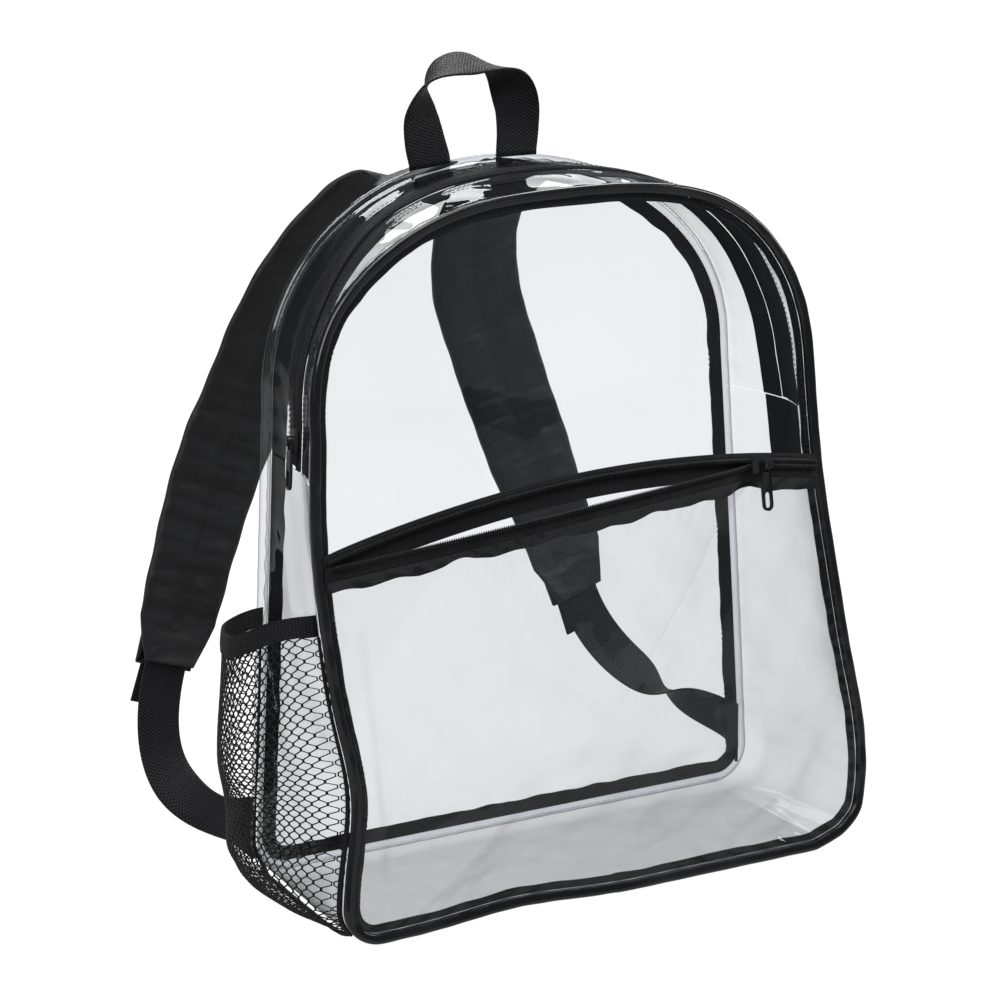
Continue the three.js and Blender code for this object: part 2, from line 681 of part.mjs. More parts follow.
function geometryFrom(solid) {
  const { vertProperties, triVerts } = solid.getMesh();
  const geometry = new THREE.BufferGeometry();
  geometry.setAttribute("position", new THREE.BufferAttribute(new Float32Array(vertProperties), 3));
  geometry.setIndex(new THREE.BufferAttribute(new Uint32Array(triVerts), 1));
  geometry.computeVertexNormals();
  return geometry;
}

function addMesh(name, material, geometry, parent) {
  const mesh = new THREE.Mesh(geometry, material);
  mesh.name = name;
  parent.add(mesh);
  return mesh;
}

const boxBetween = (x0, x1, y0, y1, z0, z1) =>
  new THREE.BoxGeometry(x1 - x0, y1 - y0, z1 - z0).translate((x0 + x1) / 2, (y0 + y1) / 2, (z0 + z1) / 2);

// The pull's rod lies in the middle of the bridge's room, this much over the slider's top.
const ROD_HEIGHT = BRIDGE_ROOM / 2 + PULL_THICKNESS / 2;
const BRIDGE_TOP = 2 * ROD_HEIGHT + BRIDGE_BAR;

// A slider with its underside at z = 0 and its bridge over x = 0. zipTurn turns its plate, whose narrow
// end otherwise points along x.
function sliderGeometry(zipTurn) {
  const [l, w] = [SLIDER_LENGTH / 2, SLIDER_WIDTH / 2];
  const nose = w * SLIDER_NOSE;
  const outline = [
    [-l, -w],
    [0, -w],
    [l, -nose],
    [l, nose],
    [0, w],
    [-l, w],
  ];
  const base = plate(outline, [], SLIDER_THICKNESS).rotateZ(zipTurn);
  const reach = PULL_THICKNESS / 2 + BRIDGE_ROOM + BRIDGE_BAR;
  const half = BRIDGE_WIDTH / 2;
  const top = SLIDER_THICKNESS + BRIDGE_TOP;
  const sunk = SLIDER_THICKNESS / 2;
  const blocks = [
    boxBetween(-half, half, -reach, -reach + BRIDGE_BAR, sunk, top),
    boxBetween(-half, half, reach - BRIDGE_BAR, reach, sunk, top),
    boxBetween(-half, half, -reach, reach, top - BRIDGE_BAR, top),
  ];
  return geometryFrom(blocks.reduce((solid, block) => solid.add(solidFrom(block)), solidFrom(base)));
}

// A pull that hangs along -y from the rod at its top, whose middle is the origin.
function pullGeometry() {
  const rod = PULL_THICKNESS / 2;
  const half = PULL_WIDTH / 2;
  const neck = half * 0.8;
  const eyeFoot = -rod - PULL_EYE_LENGTH;
  const outline = [
    [-neck, rod],
    [-neck, eyeFoot - PULL_RIM / 2],
    [-half, eyeFoot - PULL_RIM],
    ...arc(0, half - PULL_LENGTH, half, 1, 2),
    [half, eyeFoot - PULL_RIM],
    [neck, eyeFoot - PULL_RIM / 2],
    [neck, rod],
  ];
  const eye = rectangle(-PULL_EYE_WIDTH / 2, PULL_EYE_WIDTH / 2, eyeFoot, -rod);
  const slotEnd = PULL_SLOT_WIDTH / 2;
  const foot = -PULL_LENGTH + PULL_RIM + slotEnd;
  const head = foot + PULL_SLOT_LENGTH - PULL_SLOT_WIDTH;
  const slot = [...arc(0, foot, slotEnd, 1, 2), ...arc(0, head, slotEnd, 0, 1)];
  return plate(outline, [eye, slot], PULL_THICKNESS).translate(0, 0, -PULL_THICKNESS / 2);
}

// A slider at a place on its zipper, with a pull that hangs against up and turns about its rod.
function addSlider(name, { at, up, face, zipTurn }) {
  const frame = new THREE.Group();
  frame.setRotationFromMatrix(new THREE.Matrix4().makeBasis(up.clone().cross(face), up, face));
  frame.position.copy(at);
  bag.add(frame);
  addMesh(`${name}_slider`, blackMetal, sliderGeometry(zipTurn), frame);
  const pull = addMesh(`${name}_pull`, blackMetal, pullGeometry(), frame);
  pull.position.set(0, 0, SLIDER_THICKNESS + ROD_HEIGHT);
}

function addSliders() {
  const height = pocketZipHeight(POCKET_SLIDER_X);
  const seat = COIL_LIFT + COIL_THICKNESS / 2 + 3 * CLEARANCE + frontSwellAt(POCKET_SLIDER_X, height);
  addSlider("pocket_zip", {
    at: onFront(POCKET_SLIDER_X, height, seat),
    up: onFront(0, 1).sub(onFront(0, 0)).normalize(),
    face: frontFace,
    zipTurn: 0,
  });

  const share = 1 - MAIN_SLIDER_AT / 2;
  const [below, here, above] = [0.004, 0, -0.004].map((step) => gussetPoint(share + step, ZIP_ACROSS));
  const up = above.clone().sub(below).normalize();
  const across = gussetPoint(share, ZIP_ACROSS + 0.1).sub(gussetPoint(share, ZIP_ACROSS - 0.1)).normalize();
  const face = across.clone().cross(up).normalize();
  if (face.x > 0) face.negate();
  addSlider("main_zip", {
    at: here.addScaledVector(face, COIL_THICKNESS / 2 + 2 * CLEARANCE),
    up,
    face,
    zipTurn: Math.PI / 2,
  });
}

// Mesh pocket on the left gusset

// Half the outline's share at a height above the floor on the straight side.
const sideShareAt = (height) =>
  lerp(
    STRETCH_ENDS.corner,
    STRETCH_ENDS.side,
    (height - SEAM_FOOT - CORNER_RADIUS) / (SHOULDER_HEIGHT - CORNER_RADIUS),
  );

// A point of the mesh at a share of half the outline, across the gusset, lifted off it. up runs from 0
// at its foot to 1 at its mouth.
function meshPoint(half, up, across, lift) {
  const round = Math.sin((Math.PI * (across - MESH_EDGE)) / (1 - 2 * MESH_EDGE)) ** 0.55;
  const swell = MESH_SWELL * fromTable(MESH_FORM, "swell", up) * (Number.isNaN(round) ? 0 : round);
  return gussetPoint(1 - half / 2, across, SHEET / 2 + 3.5 * CLEARANCE + lift + swell);
}

const MESH_LINES = GUSSET_LINES.map((line) => Math.min(1 - MESH_EDGE, Math.max(MESH_EDGE, line)));
const mouthShare = (across) => sideShareAt(PANEL_HEIGHT * fromTable(MESH_MOUTH, "height", across));

function addMeshPocket() {
  const { bottom, corner } = STRETCH_ENDS;
  const ups = 8;
  const rows = [lerp(bottom, corner, 0.5), lerp(bottom, corner, 0.75)].map((half) => () => half);
  for (let i = 0; i <= ups; i++) rows.push((across) => lerp(corner, mouthShare(across), i / ups));
  const row = (halfAt, up, lift) => MESH_LINES.map((x) => meshPoint(halfAt(x), up, x, lift));
  const last = rows.length - 1;
  const sections = rows.map((halfAt, i) =>
    sheetSection(row(halfAt, i / last, MESH_THICKNESS), row(halfAt, i / last, 0)),
  );
  addLoft("mesh_pocket", black, sections);
  const step = sideShareAt(1) - sideShareAt(0);
  const band = [0, 0.5, 1].map((up) => {
    const halfAt = (across) => mouthShare(across) + step * (CLEARANCE + ELASTIC_HEIGHT * up);
    return sheetSection(row(halfAt, 1, ELASTIC_THICKNESS), row(halfAt, 1, 0));
  });
  addLoft("mesh_pocket_elastic", black, band);
}

// Webbing and straps

// A flat band along sections given as a middle, the way its width runs and the way its face looks.
const bandSection = ({ middle, wide, face }, width, thickness) =>
  [
    [0.5, 0.5],
    [-0.5, 0.5],
    [-0.5, -0.5],
    [0.5, -0.5],
  ].map(([a, b]) =>
    middle.clone().addScaledVector(wide, a * width).addScaledVector(face, b * thickness),
  );

// A padded band: the same, with rounded edges.
const paddedSection = ({ middle, wide, face }, width, thickness) =>
  [
    [0.5, -0.2],
    [0.5, 0.2],
    [0.42, 0.5],
    [-0.42, 0.5],
    [-0.5, 0.2],
    [-0.5, -0.2],
    [-0.42, -0.5],
    [0.42, -0.5],
  ].map(([a, b]) =>
    middle.clone().addScaledVector(wide, a * width).addScaledVector(face, b * thickness),
  );

// The share of the loop where the back seam's arch passes a place across.
function backTopShare(across) {
  const turn = Math.acos((Math.abs(across) / backShape.shoulder) ** (BACK_ARCH_FULLNESS / 2));
  const half = STRETCH_ENDS.side + (1 - STRETCH_ENDS.side) * (turn / (Math.PI / 2));
  return across > 0 ? half / 2 : 1 - half / 2;
}

function addHandle() {
  const foot = HANDLE_SPREAD / 2;
  const seats = [-1, 1].map((side) => backSeam(backTopShare(HANDLE_PLACE + side * foot)).point);
  const at = (side, x, height) => {
    const seat = seats[0].clone().lerp(seats[1], THREE.MathUtils.clamp((side * x + 1) / 2, 0, 1));
    const across = HANDLE_PLACE + side * x * foot + HANDLE_LEAN * height;
    return vec(across, seat.y, seat.z + PIPING + 3.5 * CLEARANCE + height * HANDLE_RISE);
  };
  const whole = [...HANDLE_FORM.map((row) => ({ ...row, side: 1 }))];
  whole.push(...HANDLE_FORM.slice(0, -1).reverse().map((row) => ({ ...row, side: -1 })));
  const line = new THREE.CatmullRomCurve3(
    whole.map(({ x, height, side }) => at(side, x, height)),
  );
  const rows = whole.length - 1;
  const steps = 2 * rows;
  const sections = Array.from({ length: steps + 1 }, (_, i) => {
    const t = i / steps;
    const k = Math.min(rows - 1, Math.floor(t * rows));
    const turn = (Math.PI / 2) * lerp(whole[k].turn, whole[k + 1].turn, t * rows - k);
    const along = line.getTangent(t).normalize();
    if (i === 0) along.set(0, 0, 1);
    if (i === steps) along.set(0, 0, -1);
    const flat = along.clone().cross(vec(0, 1, 0)).normalize();
    const wide = flat.multiplyScalar(Math.cos(turn)).addScaledVector(vec(0, 1, 0), Math.sin(turn));
    const face = along.clone().cross(wide).normalize();
    return bandSection({ middle: line.getPoint(t), wide, face }, WEBBING_WIDTH, WEBBING_THICKNESS);
  });
  addLoft("grab_handle", black, sections);
  for (const [name, side] of [
    ["handle_end_right", 1],
    ["handle_end_left", -1],
  ]) {
    const [inner, outer] = [-1, 1].map((end) => HANDLE_PLACE + side * (foot + (end * WEBBING_WIDTH) / 2));
    const ends = [backTopShare(outer), backTopShare(inner)].sort((a, b) => a - b);
    const shares = [0, 0.5, 1].map((t) => lerp(ends[0], ends[1], t));
    const under = -(SHEET + WEBBING_THICKNESS) / 2 - 2 * CLEARANCE;
    const from = (share) => 1 - HANDLE_END / gussetWidth(share);
    addGussetStrip(name, black, shares, [from, 0.99], WEBBING_THICKNESS, under);
  }
}

const strapPlace = ({ x, y, height }) =>
  vec(x * BASE_WIDTH, BASE_DEPTH * (1 + y), SEAM_FOOT + height * BACK_HEIGHT);

function addStrap(side, name, rows) {
  const root = side * STRAP_ROOT;
  const [low, high] = [root - STRAP_ROOT_WIDTH / 2, root + STRAP_ROOT_WIDTH / 2].map(
    (x) => backSeam(backTopShare(x)).point,
  );
  const rootWide = high.clone().sub(low).normalize();
  const back = vec(0, 1, 0).addScaledVector(rootWide, -rootWide.y).normalize();
  const start = low.clone().lerp(high, 0.5).addScaledVector(back, PIPING + 4 * CLEARANCE);
  const places = [start, ...rows.map(strapPlace)];
  const line = new THREE.CatmullRomCurve3(places, false, "centripetal");
  const tip = 1 - STRAP_TIP / line.getLength(); // where the tip starts and the adjuster is sewn on
  const stations = [...Array.from({ length: 19 }, (_, i) => (tip * i) / 18), lerp(tip, 1, 0.5), 1];
  const sections = [];
  let end;
  for (const [i, t] of stations.entries()) {
    const along = i === 0 ? back : line.getTangentAt(t);
    const wide = rootWide.clone().lerp(vec(1, 0, 0), smoothstep(t, 0, 0.2));
    wide.addScaledVector(along, -wide.dot(along)).normalize();
    const face = wide.clone().cross(along).normalize();
    const width = lerp(STRAP_ROOT_WIDTH, STRAP_WIDTH, smoothstep(t, 0, 0.3));
    const narrowed = lerp(width, STRAP_END_WIDTH, smoothstep(t, 0.6, tip));
    const tapered = t > tip ? lerp(narrowed, STRAP_TIP_WIDTH, (t - tip) / (1 - tip)) : narrowed;
    const full = lerp(0.3, 1, smoothstep(t, 0, 0.15)) * lerp(1, STRAP_TIP_FULLNESS, smoothstep(t, 0.85, tip));
    const section = { middle: line.getPointAt(t), wide, face, along };
    if (i === 18) end = section;
    sections.push(paddedSection(section, tapered, STRAP_THICKNESS * full));
  }
  addLoft(`shoulder_strap_${name}`, black, sections);
  addAdjuster(side, name, end);
}

// The adjuster hangs on a loop of webbing behind the strap's tip, on the side away from the wearer; the
// lower webbing turns round its middle bar. Its frame: x across, y up along the strap, z to the wearer.
function addAdjuster(side, name, { middle, wide, face, along }) {
  const frame = new THREE.Group();
  const up = along.clone().negate();
  frame.setRotationFromMatrix(new THREE.Matrix4().makeBasis(wide, up, wide.clone().cross(up)));
  const loopThickness = WEBBING_THICKNESS;
  const loopHalf = ADJUSTER_BAR / 2 + CLEARANCE + loopThickness;
  const loopDeep = ADJUSTER_THICKNESS / 2 + CLEARANCE + loopThickness;
  const behind = (STRAP_THICKNESS * STRAP_TIP_FULLNESS) / 2 + 2 * CLEARANCE + loopDeep;
  frame.position.copy(middle).addScaledVector(wide.clone().cross(up), -behind);
  bag.add(frame);
  const barMiddle = -CLEARANCE - loopHalf;

  const hole = rectangle(
    loopThickness - loopDeep,
    loopDeep - loopThickness,
    loopThickness - loopHalf,
    loopHalf - loopThickness,
  );
  const loop = plate(rectangle(-loopDeep, loopDeep, -loopHalf, loopHalf), [hole], WEBBING_WIDTH);
  loop.translate(0, barMiddle, -WEBBING_WIDTH / 2).rotateY(Math.PI / 2);
  addMesh(`adjuster_loop_${name}`, black, loop, frame);

  const slotHalf = WEBBING_WIDTH / 2 + 2 * CLEARANCE;
  const top = barMiddle + ADJUSTER_BAR / 2;
  const height = 3 * ADJUSTER_BAR + 2 * ADJUSTER_SLOT;
  const plateHalf = ADJUSTER_WIDTH / 2;
  const slots = [1, 2].map((n) => {
    const slotTop = top - n * ADJUSTER_BAR - (n - 1) * ADJUSTER_SLOT;
    return rectangle(-slotHalf, slotHalf, slotTop - ADJUSTER_SLOT, slotTop);
  });
  const ladder = plate(rectangle(-plateHalf, plateHalf, top - height, top), slots, ADJUSTER_THICKNESS);
  ladder.translate(0, 0, -ADJUSTER_THICKNESS / 2);
  addMesh(`strap_adjuster_${name}`, blackPlastic, ladder, frame);

  frame.updateMatrixWorld(true);
  addLowerWebbing(side, name, frame, top - ADJUSTER_BAR - ADJUSTER_SLOT, top - height);
}

// The lower webbing: its tail in front of the adjuster, round the middle bar, down behind it, and
// forward to the tab in the back seam, twisting a quarter on the way.
function addLowerWebbing(side, name, frame, barTop, plateFoot) {
  const run = ADJUSTER_THICKNESS / 2 + CLEARANCE + WEBBING_THICKNESS / 2;
  const local = (y, z) => frame.localToWorld(vec(0, y, z));
  const turnSteps = 6;
  const front = -1; // the tail's side of the adjuster, away from the wearer
  const places = [];
  places.push(local(plateFoot - WEBBING_TAIL, front * run * 1.3), local(plateFoot, front * run));
  for (let i = 0; i <= turnSteps; i++) {
    const turn = Math.PI * (i / turnSteps);
    places.push(local(barTop + run * Math.sin(turn), front * run * Math.cos(turn)));
  }
  places.push(local(plateFoot, -front * run));
  const tabMiddle = SEAM_FOOT + TAB_FOOT + TAB_HEIGHT / 2;
  const half = sideShareAt(tabMiddle) / 2;
  const seam = backSeam(side > 0 ? half : 1 - half);
  const tabWay = vec(side * 0.35, 1, 0).normalize();
  const tabStart = seam.point.clone().addScaledVector(seam.face, PIPING + 2 * CLEARANCE);
  tabStart.z = tabMiddle;
  const tabEnd = tabStart.clone().addScaledVector(tabWay, TAB_REACH);
  const join = tabEnd.clone().addScaledVector(tabWay, CLEARANCE);
  const from = places[places.length - 1];
  const down = from.clone().sub(places[places.length - 2]).normalize();
  const drop = from.z - join.z;
  const curve = new THREE.CubicBezierCurve3(
    from,
    from.clone().addScaledVector(down, drop * 0.85),
    join.clone().addScaledVector(tabWay, drop * 0.45),
    join,
  );
  const upper = places.length - 1;
  const steps = 12;
  for (let i = 1; i <= steps; i++) places.push(curve.getPoint(i / steps));

  const wideStart = frame.localToWorld(vec(1, 0, 0)).sub(frame.position).normalize();
  const sections = places.map((middle, i) => {
    const before = places[Math.max(0, i - 1)];
    const after = places[Math.min(places.length - 1, i + 1)];
    const along = after.clone().sub(before).normalize();
    if (i === places.length - 1) along.copy(tabWay).negate();
    const twist = smoothstep(i, upper + 1, places.length - 1) * (Math.PI / 2);
    const wide = wideStart.clone().multiplyScalar(Math.cos(twist));
    wide.addScaledVector(vec(0, 0, -side), Math.sin(twist));
    wide.addScaledVector(along, -wide.dot(along)).normalize();
    const face = along.clone().cross(wide).normalize();
    return bandSection({ middle, wide, face }, WEBBING_WIDTH, WEBBING_THICKNESS);
  });
  addLoft(`lower_webbing_${name}`, black, sections);

  const thin = tabWay.clone().cross(vec(0, 0, 1)).normalize();
  const tab = [tabStart, tabEnd].map((middle, i) => {
    const width = i ? WEBBING_WIDTH : TAB_HEIGHT;
    return bandSection({ middle, wide: vec(0, 0, 1), face: thin }, width, WEBBING_THICKNESS);
  });
  addLoft(`strap_tab_${name}`, black, tab);
}

addPiping("front_piping", glossyBlack, frontSeam);
addPiping("back_piping", clear, backSeam);
addSeamTape("front_seam_tape", frontSeam);
addSeamTape("back_seam_tape", backSeam);
addPanels();
addGusset();
addPocket();
addSliders();
addMeshPocket();
addHandle();
addStrap(-1, "left", LEFT_STRAP);
addStrap(1, "right", RIGHT_STRAP);

// The part's origin lies under the middle of its box, on the floor.
bag.updateMatrixWorld(true);
const box = new THREE.Box3().setFromObject(bag, true);
bag.position.set(-(box.min.x + box.max.x) / 2, -(box.min.y + box.max.y) / 2, -box.min.z);

export default part;
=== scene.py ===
# %% [markdown]
# # A clear backpack, dressed for its photograph
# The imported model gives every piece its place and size. This lesson dresses it: clear sheets that
# ripple and shine, black piping, zippers with real teeth, a knotted net, woven webbing and padded
# straps. Lengths are worked out in millimetres, as the bag's maker would, and turned into metres when
# a mesh is made.

# %% Load the frame
import math

import bmesh
import bpy
import numpy as np
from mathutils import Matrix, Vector


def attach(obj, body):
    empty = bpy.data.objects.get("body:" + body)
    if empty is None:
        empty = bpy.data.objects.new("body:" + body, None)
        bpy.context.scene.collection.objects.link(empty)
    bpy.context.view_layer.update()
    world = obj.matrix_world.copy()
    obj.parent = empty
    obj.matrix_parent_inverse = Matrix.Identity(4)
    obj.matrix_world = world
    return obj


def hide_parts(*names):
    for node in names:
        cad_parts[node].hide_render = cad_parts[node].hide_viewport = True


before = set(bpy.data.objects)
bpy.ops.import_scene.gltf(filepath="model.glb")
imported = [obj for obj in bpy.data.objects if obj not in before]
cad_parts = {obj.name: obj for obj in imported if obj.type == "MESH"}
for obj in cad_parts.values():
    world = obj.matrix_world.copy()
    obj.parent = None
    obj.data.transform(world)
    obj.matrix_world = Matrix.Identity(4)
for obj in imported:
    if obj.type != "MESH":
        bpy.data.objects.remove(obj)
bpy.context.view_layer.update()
BAG_SHIFT = np.array([14.2258, -103.3501, -0.0106])  # from the bag's own middle to the frame's


# %% [markdown]
# ## The camera
# The photograph was taken from the front left, a little above the bag. A long lens two metres away
# keeps the sides nearly parallel. The aim is the middle of the bag, and the shift puts that point
# where the photograph has it, right of the middle of the picture.

# %% Place the camera
AIM = Vector((0.0142, -0.0384, 0.195))
AZIMUTH, ELEVATION, DISTANCE = math.radians(-30), math.radians(16), 2.0
towards = Vector(
    (
        math.sin(AZIMUTH) * math.cos(ELEVATION),
        -math.cos(AZIMUTH) * math.cos(ELEVATION),
        math.sin(ELEVATION),
    )
)
camera_data = bpy.data.cameras.new("camera")
camera_data.sensor_width = 36
camera_data.lens = 133.2
camera_data.shift_x, camera_data.shift_y = -0.0571, 0.0178
camera = bpy.data.objects.new("camera", camera_data)
camera.location = AIM + towards * DISTANCE
camera.rotation_mode = "QUATERNION"
camera.rotation_quaternion = (-towards).to_track_quat("-Z", "Y")
bpy.context.scene.collection.objects.link(camera)
bpy.context.scene.camera = camera
print("camera at", [round(x, 3) for x in camera.location])


# %% [markdown]
# ## Making a mesh from a grid
# Nearly every piece of a bag is a sheet, a band or a cord. Each can be written as a function of two
# numbers: how far along it a point is, and how far across. numpy works out all the points of such a
# grid at once, and one helper turns the grid into a mesh with its own UV map in metres.

# %% A grid's faces and its mesh
def grid_faces(rows, cols, loop=False, tube=False):
    """The four corner numbers of every square of a grid that is rows long and cols wide. Point (i, j)
    has the number i times cols plus j. loop joins the last row to the first, and tube the last column."""
    i = np.arange(rows if loop else rows - 1)[:, None]
    j = np.arange(cols if tube else cols - 1)[None, :]
    below, beside = (i + 1) % rows, (j + 1) % cols
    corners = (i * cols + j, i * cols + beside, below * cols + beside, below * cols + j)
    return np.stack(np.broadcast_arrays(*corners), axis=-1).reshape(-1, 4)


def mesh_of(name, points, faces, uv=None):
    """A smooth-shaded mesh from points in the bag's millimetres. A point's place in the frame is the
    point plus the bag's shift, over a thousand. uv holds one pair for each corner of each face."""
    mesh = bpy.data.meshes.new(name)
    mesh.from_pydata(((points + BAG_SHIFT) / 1000).tolist(), [], faces)
    if uv is not None:
        mesh.uv_layers.new(name="UVMap").data.foreach_set("uv", np.ravel(uv).astype(np.float32))
    mesh.polygons.foreach_set("use_smooth", np.full(len(mesh.polygons), True))
    mesh.update()
    return mesh


def grid_uv(run, width):
    """Corner pairs for grid_faces. run and width give each line's place along and across, in metres,
    with one more value than the grid has lines where it is joined up."""
    u = np.broadcast_to(width[None, :], (len(run), len(width)))
    v = np.broadcast_to(run[:, None], (len(run), len(width)))
    uv = np.stack([u, v], axis=-1)
    corners = (uv[:-1, :-1], uv[:-1, 1:], uv[1:, 1:], uv[1:, :-1])
    return np.stack(corners, axis=2).reshape(-1, 2)


print("squares in a grid of 3 by 4 points:", len(grid_faces(3, 4)))


# %% [markdown]
# ## Putting a mesh in the scene
# Each piece rides on a body of the frame, so that it moves with it, takes its finish, and hides the
# plain nodes that it stands in for.

# %% Add a piece
def add_piece(name, mesh, material, replaces, body="bag"):
    """Puts a mesh in the scene with its finish, on its body, in place of the plain nodes it names."""
    piece = bpy.data.objects.new(name, mesh)
    bpy.context.scene.collection.objects.link(piece)
    mesh.materials.append(material)
    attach(piece, body)
    if replaces:
        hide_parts(*replaces)
    return piece


# %% Lengths, and which way faces turn
def lengths_along(line):
    """Each point's distance along a line of points: the running sum of the steps between them."""
    steps = np.linalg.norm(np.diff(line, axis=0), axis=1)
    return np.concatenate([[0.0], np.cumsum(steps)])


def turned_out(points, faces):
    """The faces, each one reversed if the solid's volume is negative. The volume is a sixth of the sum,
    over triangles, of a corner's dot product with the cross product of the other two."""
    quads = np.asarray([f for f in faces if len(f) == 4])
    around = points - points.mean(axis=0)
    a, b, c, d = (around[quads[:, k]] for k in range(4))
    volume = (a * np.cross(b, c)).sum() + (a * np.cross(c, d)).sum()
    return [list(f)[::-1] for f in faces] if volume < 0 else [list(f) for f in faces]


print("from the origin to (3, 4, 0):", lengths_along(np.array([[0.0, 0, 0], [3, 4, 0]]))[-1])


# %% A band or tube carried along a line
def carried(name, sections, material, replaces, loop=False, sharp=None):
    """A closed tube through rows of points: each row is a closed section, and a loop joins the last
    section to the first. Its UV map runs along the tube and round its section, in metres. Where the
    tube doesn't loop, each end is shut by a cap."""
    rows, cols = sections.shape[:2]
    middle = sections.mean(axis=1)
    closed = np.concatenate([middle, middle[:1]]) if loop else middle
    run = lengths_along(closed) / 1000
    ring = np.concatenate([sections[rows // 2], sections[rows // 2][:1]])
    width = lengths_along(ring) / 1000
    faces = grid_faces(rows, cols, loop, tube=True)
    uv = grid_uv(run, width)
    points = sections.reshape(-1, 3)
    caps = [] if loop else [list(range(cols))[::-1], list(range((rows - 1) * cols, rows * cols))]
    turned = turned_out(points, faces.tolist())
    if turned[0] != faces[0].tolist():
        uv = uv.reshape(-1, 4, 2)[:, ::-1].reshape(-1, 2)
        caps = [cap[::-1] for cap in caps]
    uv = np.concatenate([uv, np.zeros((sum(map(len, caps)), 2))])
    mesh = mesh_of(name, points, turned + caps, uv)
    if sharp is not None:
        mesh.set_sharp_from_angle(angle=math.radians(sharp))
    return add_piece(name, mesh, material, replaces)


def rounded_section(width, thickness, count, squareness):
    """A band's section as pairs, one superellipse: with the angle t, x is half the width times the
    cosine of t raised to 2 over squareness, keeping its sign, and y is the same with the sine."""
    t = np.linspace(0, 2 * np.pi, count, endpoint=False)
    power = 2 / squareness
    x = np.sign(np.cos(t)) * np.abs(np.cos(t)) ** power * width / 2
    y = np.sign(np.sin(t)) * np.abs(np.sin(t)) ** power * thickness / 2
    return np.stack([x, y], axis=1)


def along_line(section, line, wide, face):
    """Sections along a line: each point is the line's point, plus the section's x times the direction
    of the width, plus its y times the direction of the face."""
    return (
        line[:, None]
        + section[None, :, :1] * wide[:, None]
        + section[None, :, 1:] * face[:, None]
    )


print("a band's section has", len(rounded_section(25.0, 1.8, 24, 7)), "points")


# %% [markdown]
# ## Ripples in soft vinyl
# A clear sheet shows itself only by what it reflects, so its small ripples matter more than its colour.
# They come from a few waves with different directions, whose crests are sharpened a little, and from
# puckers that start at a seam and die away into the sheet.

# %% Waves and creases
def waves(x, y, seed, size, count=7, sharp=0.0):
    """A sum of count sine waves with lengths near size millimetres. Each wave's direction, length and
    start come from a seeded table. sharp bends a sine s towards 1 - 2 |s|, which gives creases."""
    table = np.random.RandomState(seed)
    total = np.zeros(np.broadcast(x, y).shape)
    for _ in range(count):
        turn, start = table.uniform(0, 2 * np.pi, 2)
        length = size * table.uniform(0.6, 1.7)
        s = np.sin(2 * np.pi * (x * np.cos(turn) + y * np.sin(turn)) / length + start)
        total += (1 - sharp) * s + sharp * (1 - 2 * np.sqrt(s * s + 0.02))
    return total / math.sqrt(count)


def puckers(along, away, seed, pitch, reach):
    """Gathers beside a seam: a wave along the seam whose pitch wanders, times e to the power of minus
    the distance from the seam over the reach. They come and go, by a slow sum of two waves."""
    table = np.random.RandomState(seed)
    first, second, third = table.uniform(0, 2 * np.pi, 3)
    wander = 2.3 * np.sin(along / 61 + first) + 1.7 * np.sin(along / 23 + second)
    strength = np.clip(0.35 + 0.55 * np.sin(along / 37 + third) + 0.4 * np.sin(along / 91 + first), 0, 1)
    return strength * np.sin(2 * np.pi * along / pitch + wander) * np.exp(-away / reach)


def crease(x, y, start, end, depth, width):
    """One fold from start to end: the depth times a bell over the distance from the line between them.
    Beyond either end the distance is taken to that end, so the fold dies away."""
    start, end = np.array(start, float), np.array(end, float)
    way = end - start
    t = np.clip(((x - start[0]) * way[0] + (y - start[1]) * way[1]) / (way @ way), 0, 1)
    gap = np.hypot(x - start[0] - t * way[0], y - start[1] - t * way[1])
    return depth * np.sin(np.pi * np.clip(t, 0.02, 0.98)) ** 0.4 * np.exp(-((gap / width) ** 2))


print("a wave at the middle:", round(float(waves(np.array(0.0), np.array(0.0), 11, 100)), 2))


# %% [markdown]
# ## The bag's outline
# The front and back panels share one kind of outline: a flat foot, small round corners, straight sides
# that lean in, and a high arch. A place on it is a share of the whole loop, from the middle of the foot
# to the right, over the top and back. The same formulas as in the part's source keep every new piece
# on its solid.

# %% The outline of a panel
FOOT_END, CORNER_END, SIDE_END = 0.235, 0.28, 0.66  # shares of half the outline
PIPING, SEAM_FOOT, SEAM_EDGE, CLEARANCE, SHEET = 3.0, 3.3, 3.3, 0.3, 1.2
BASE_WIDTH, BASE_DEPTH, PANEL_HEIGHT, BACK_HEIGHT = 329.0, 122.0, 381.0, 380.0
SIDE_RISE, CORNER = 261.0, 18.0
# Half the foot, half the shoulders, the side's rise, the height, the corner and the arch's fullness.
FRONT = (161.5, 151.5, SIDE_RISE, 375.0, CORNER, 2.6)
BACK = (157.0, 143.0, SIDE_RISE, 374.0, CORNER, 2.15)
LEAN = math.radians(10)
FRONT_FACE = np.array([0.0, -math.cos(LEAN), math.sin(LEAN)])
BACK_FACE = np.array([0.0, 1.0, 0.0])


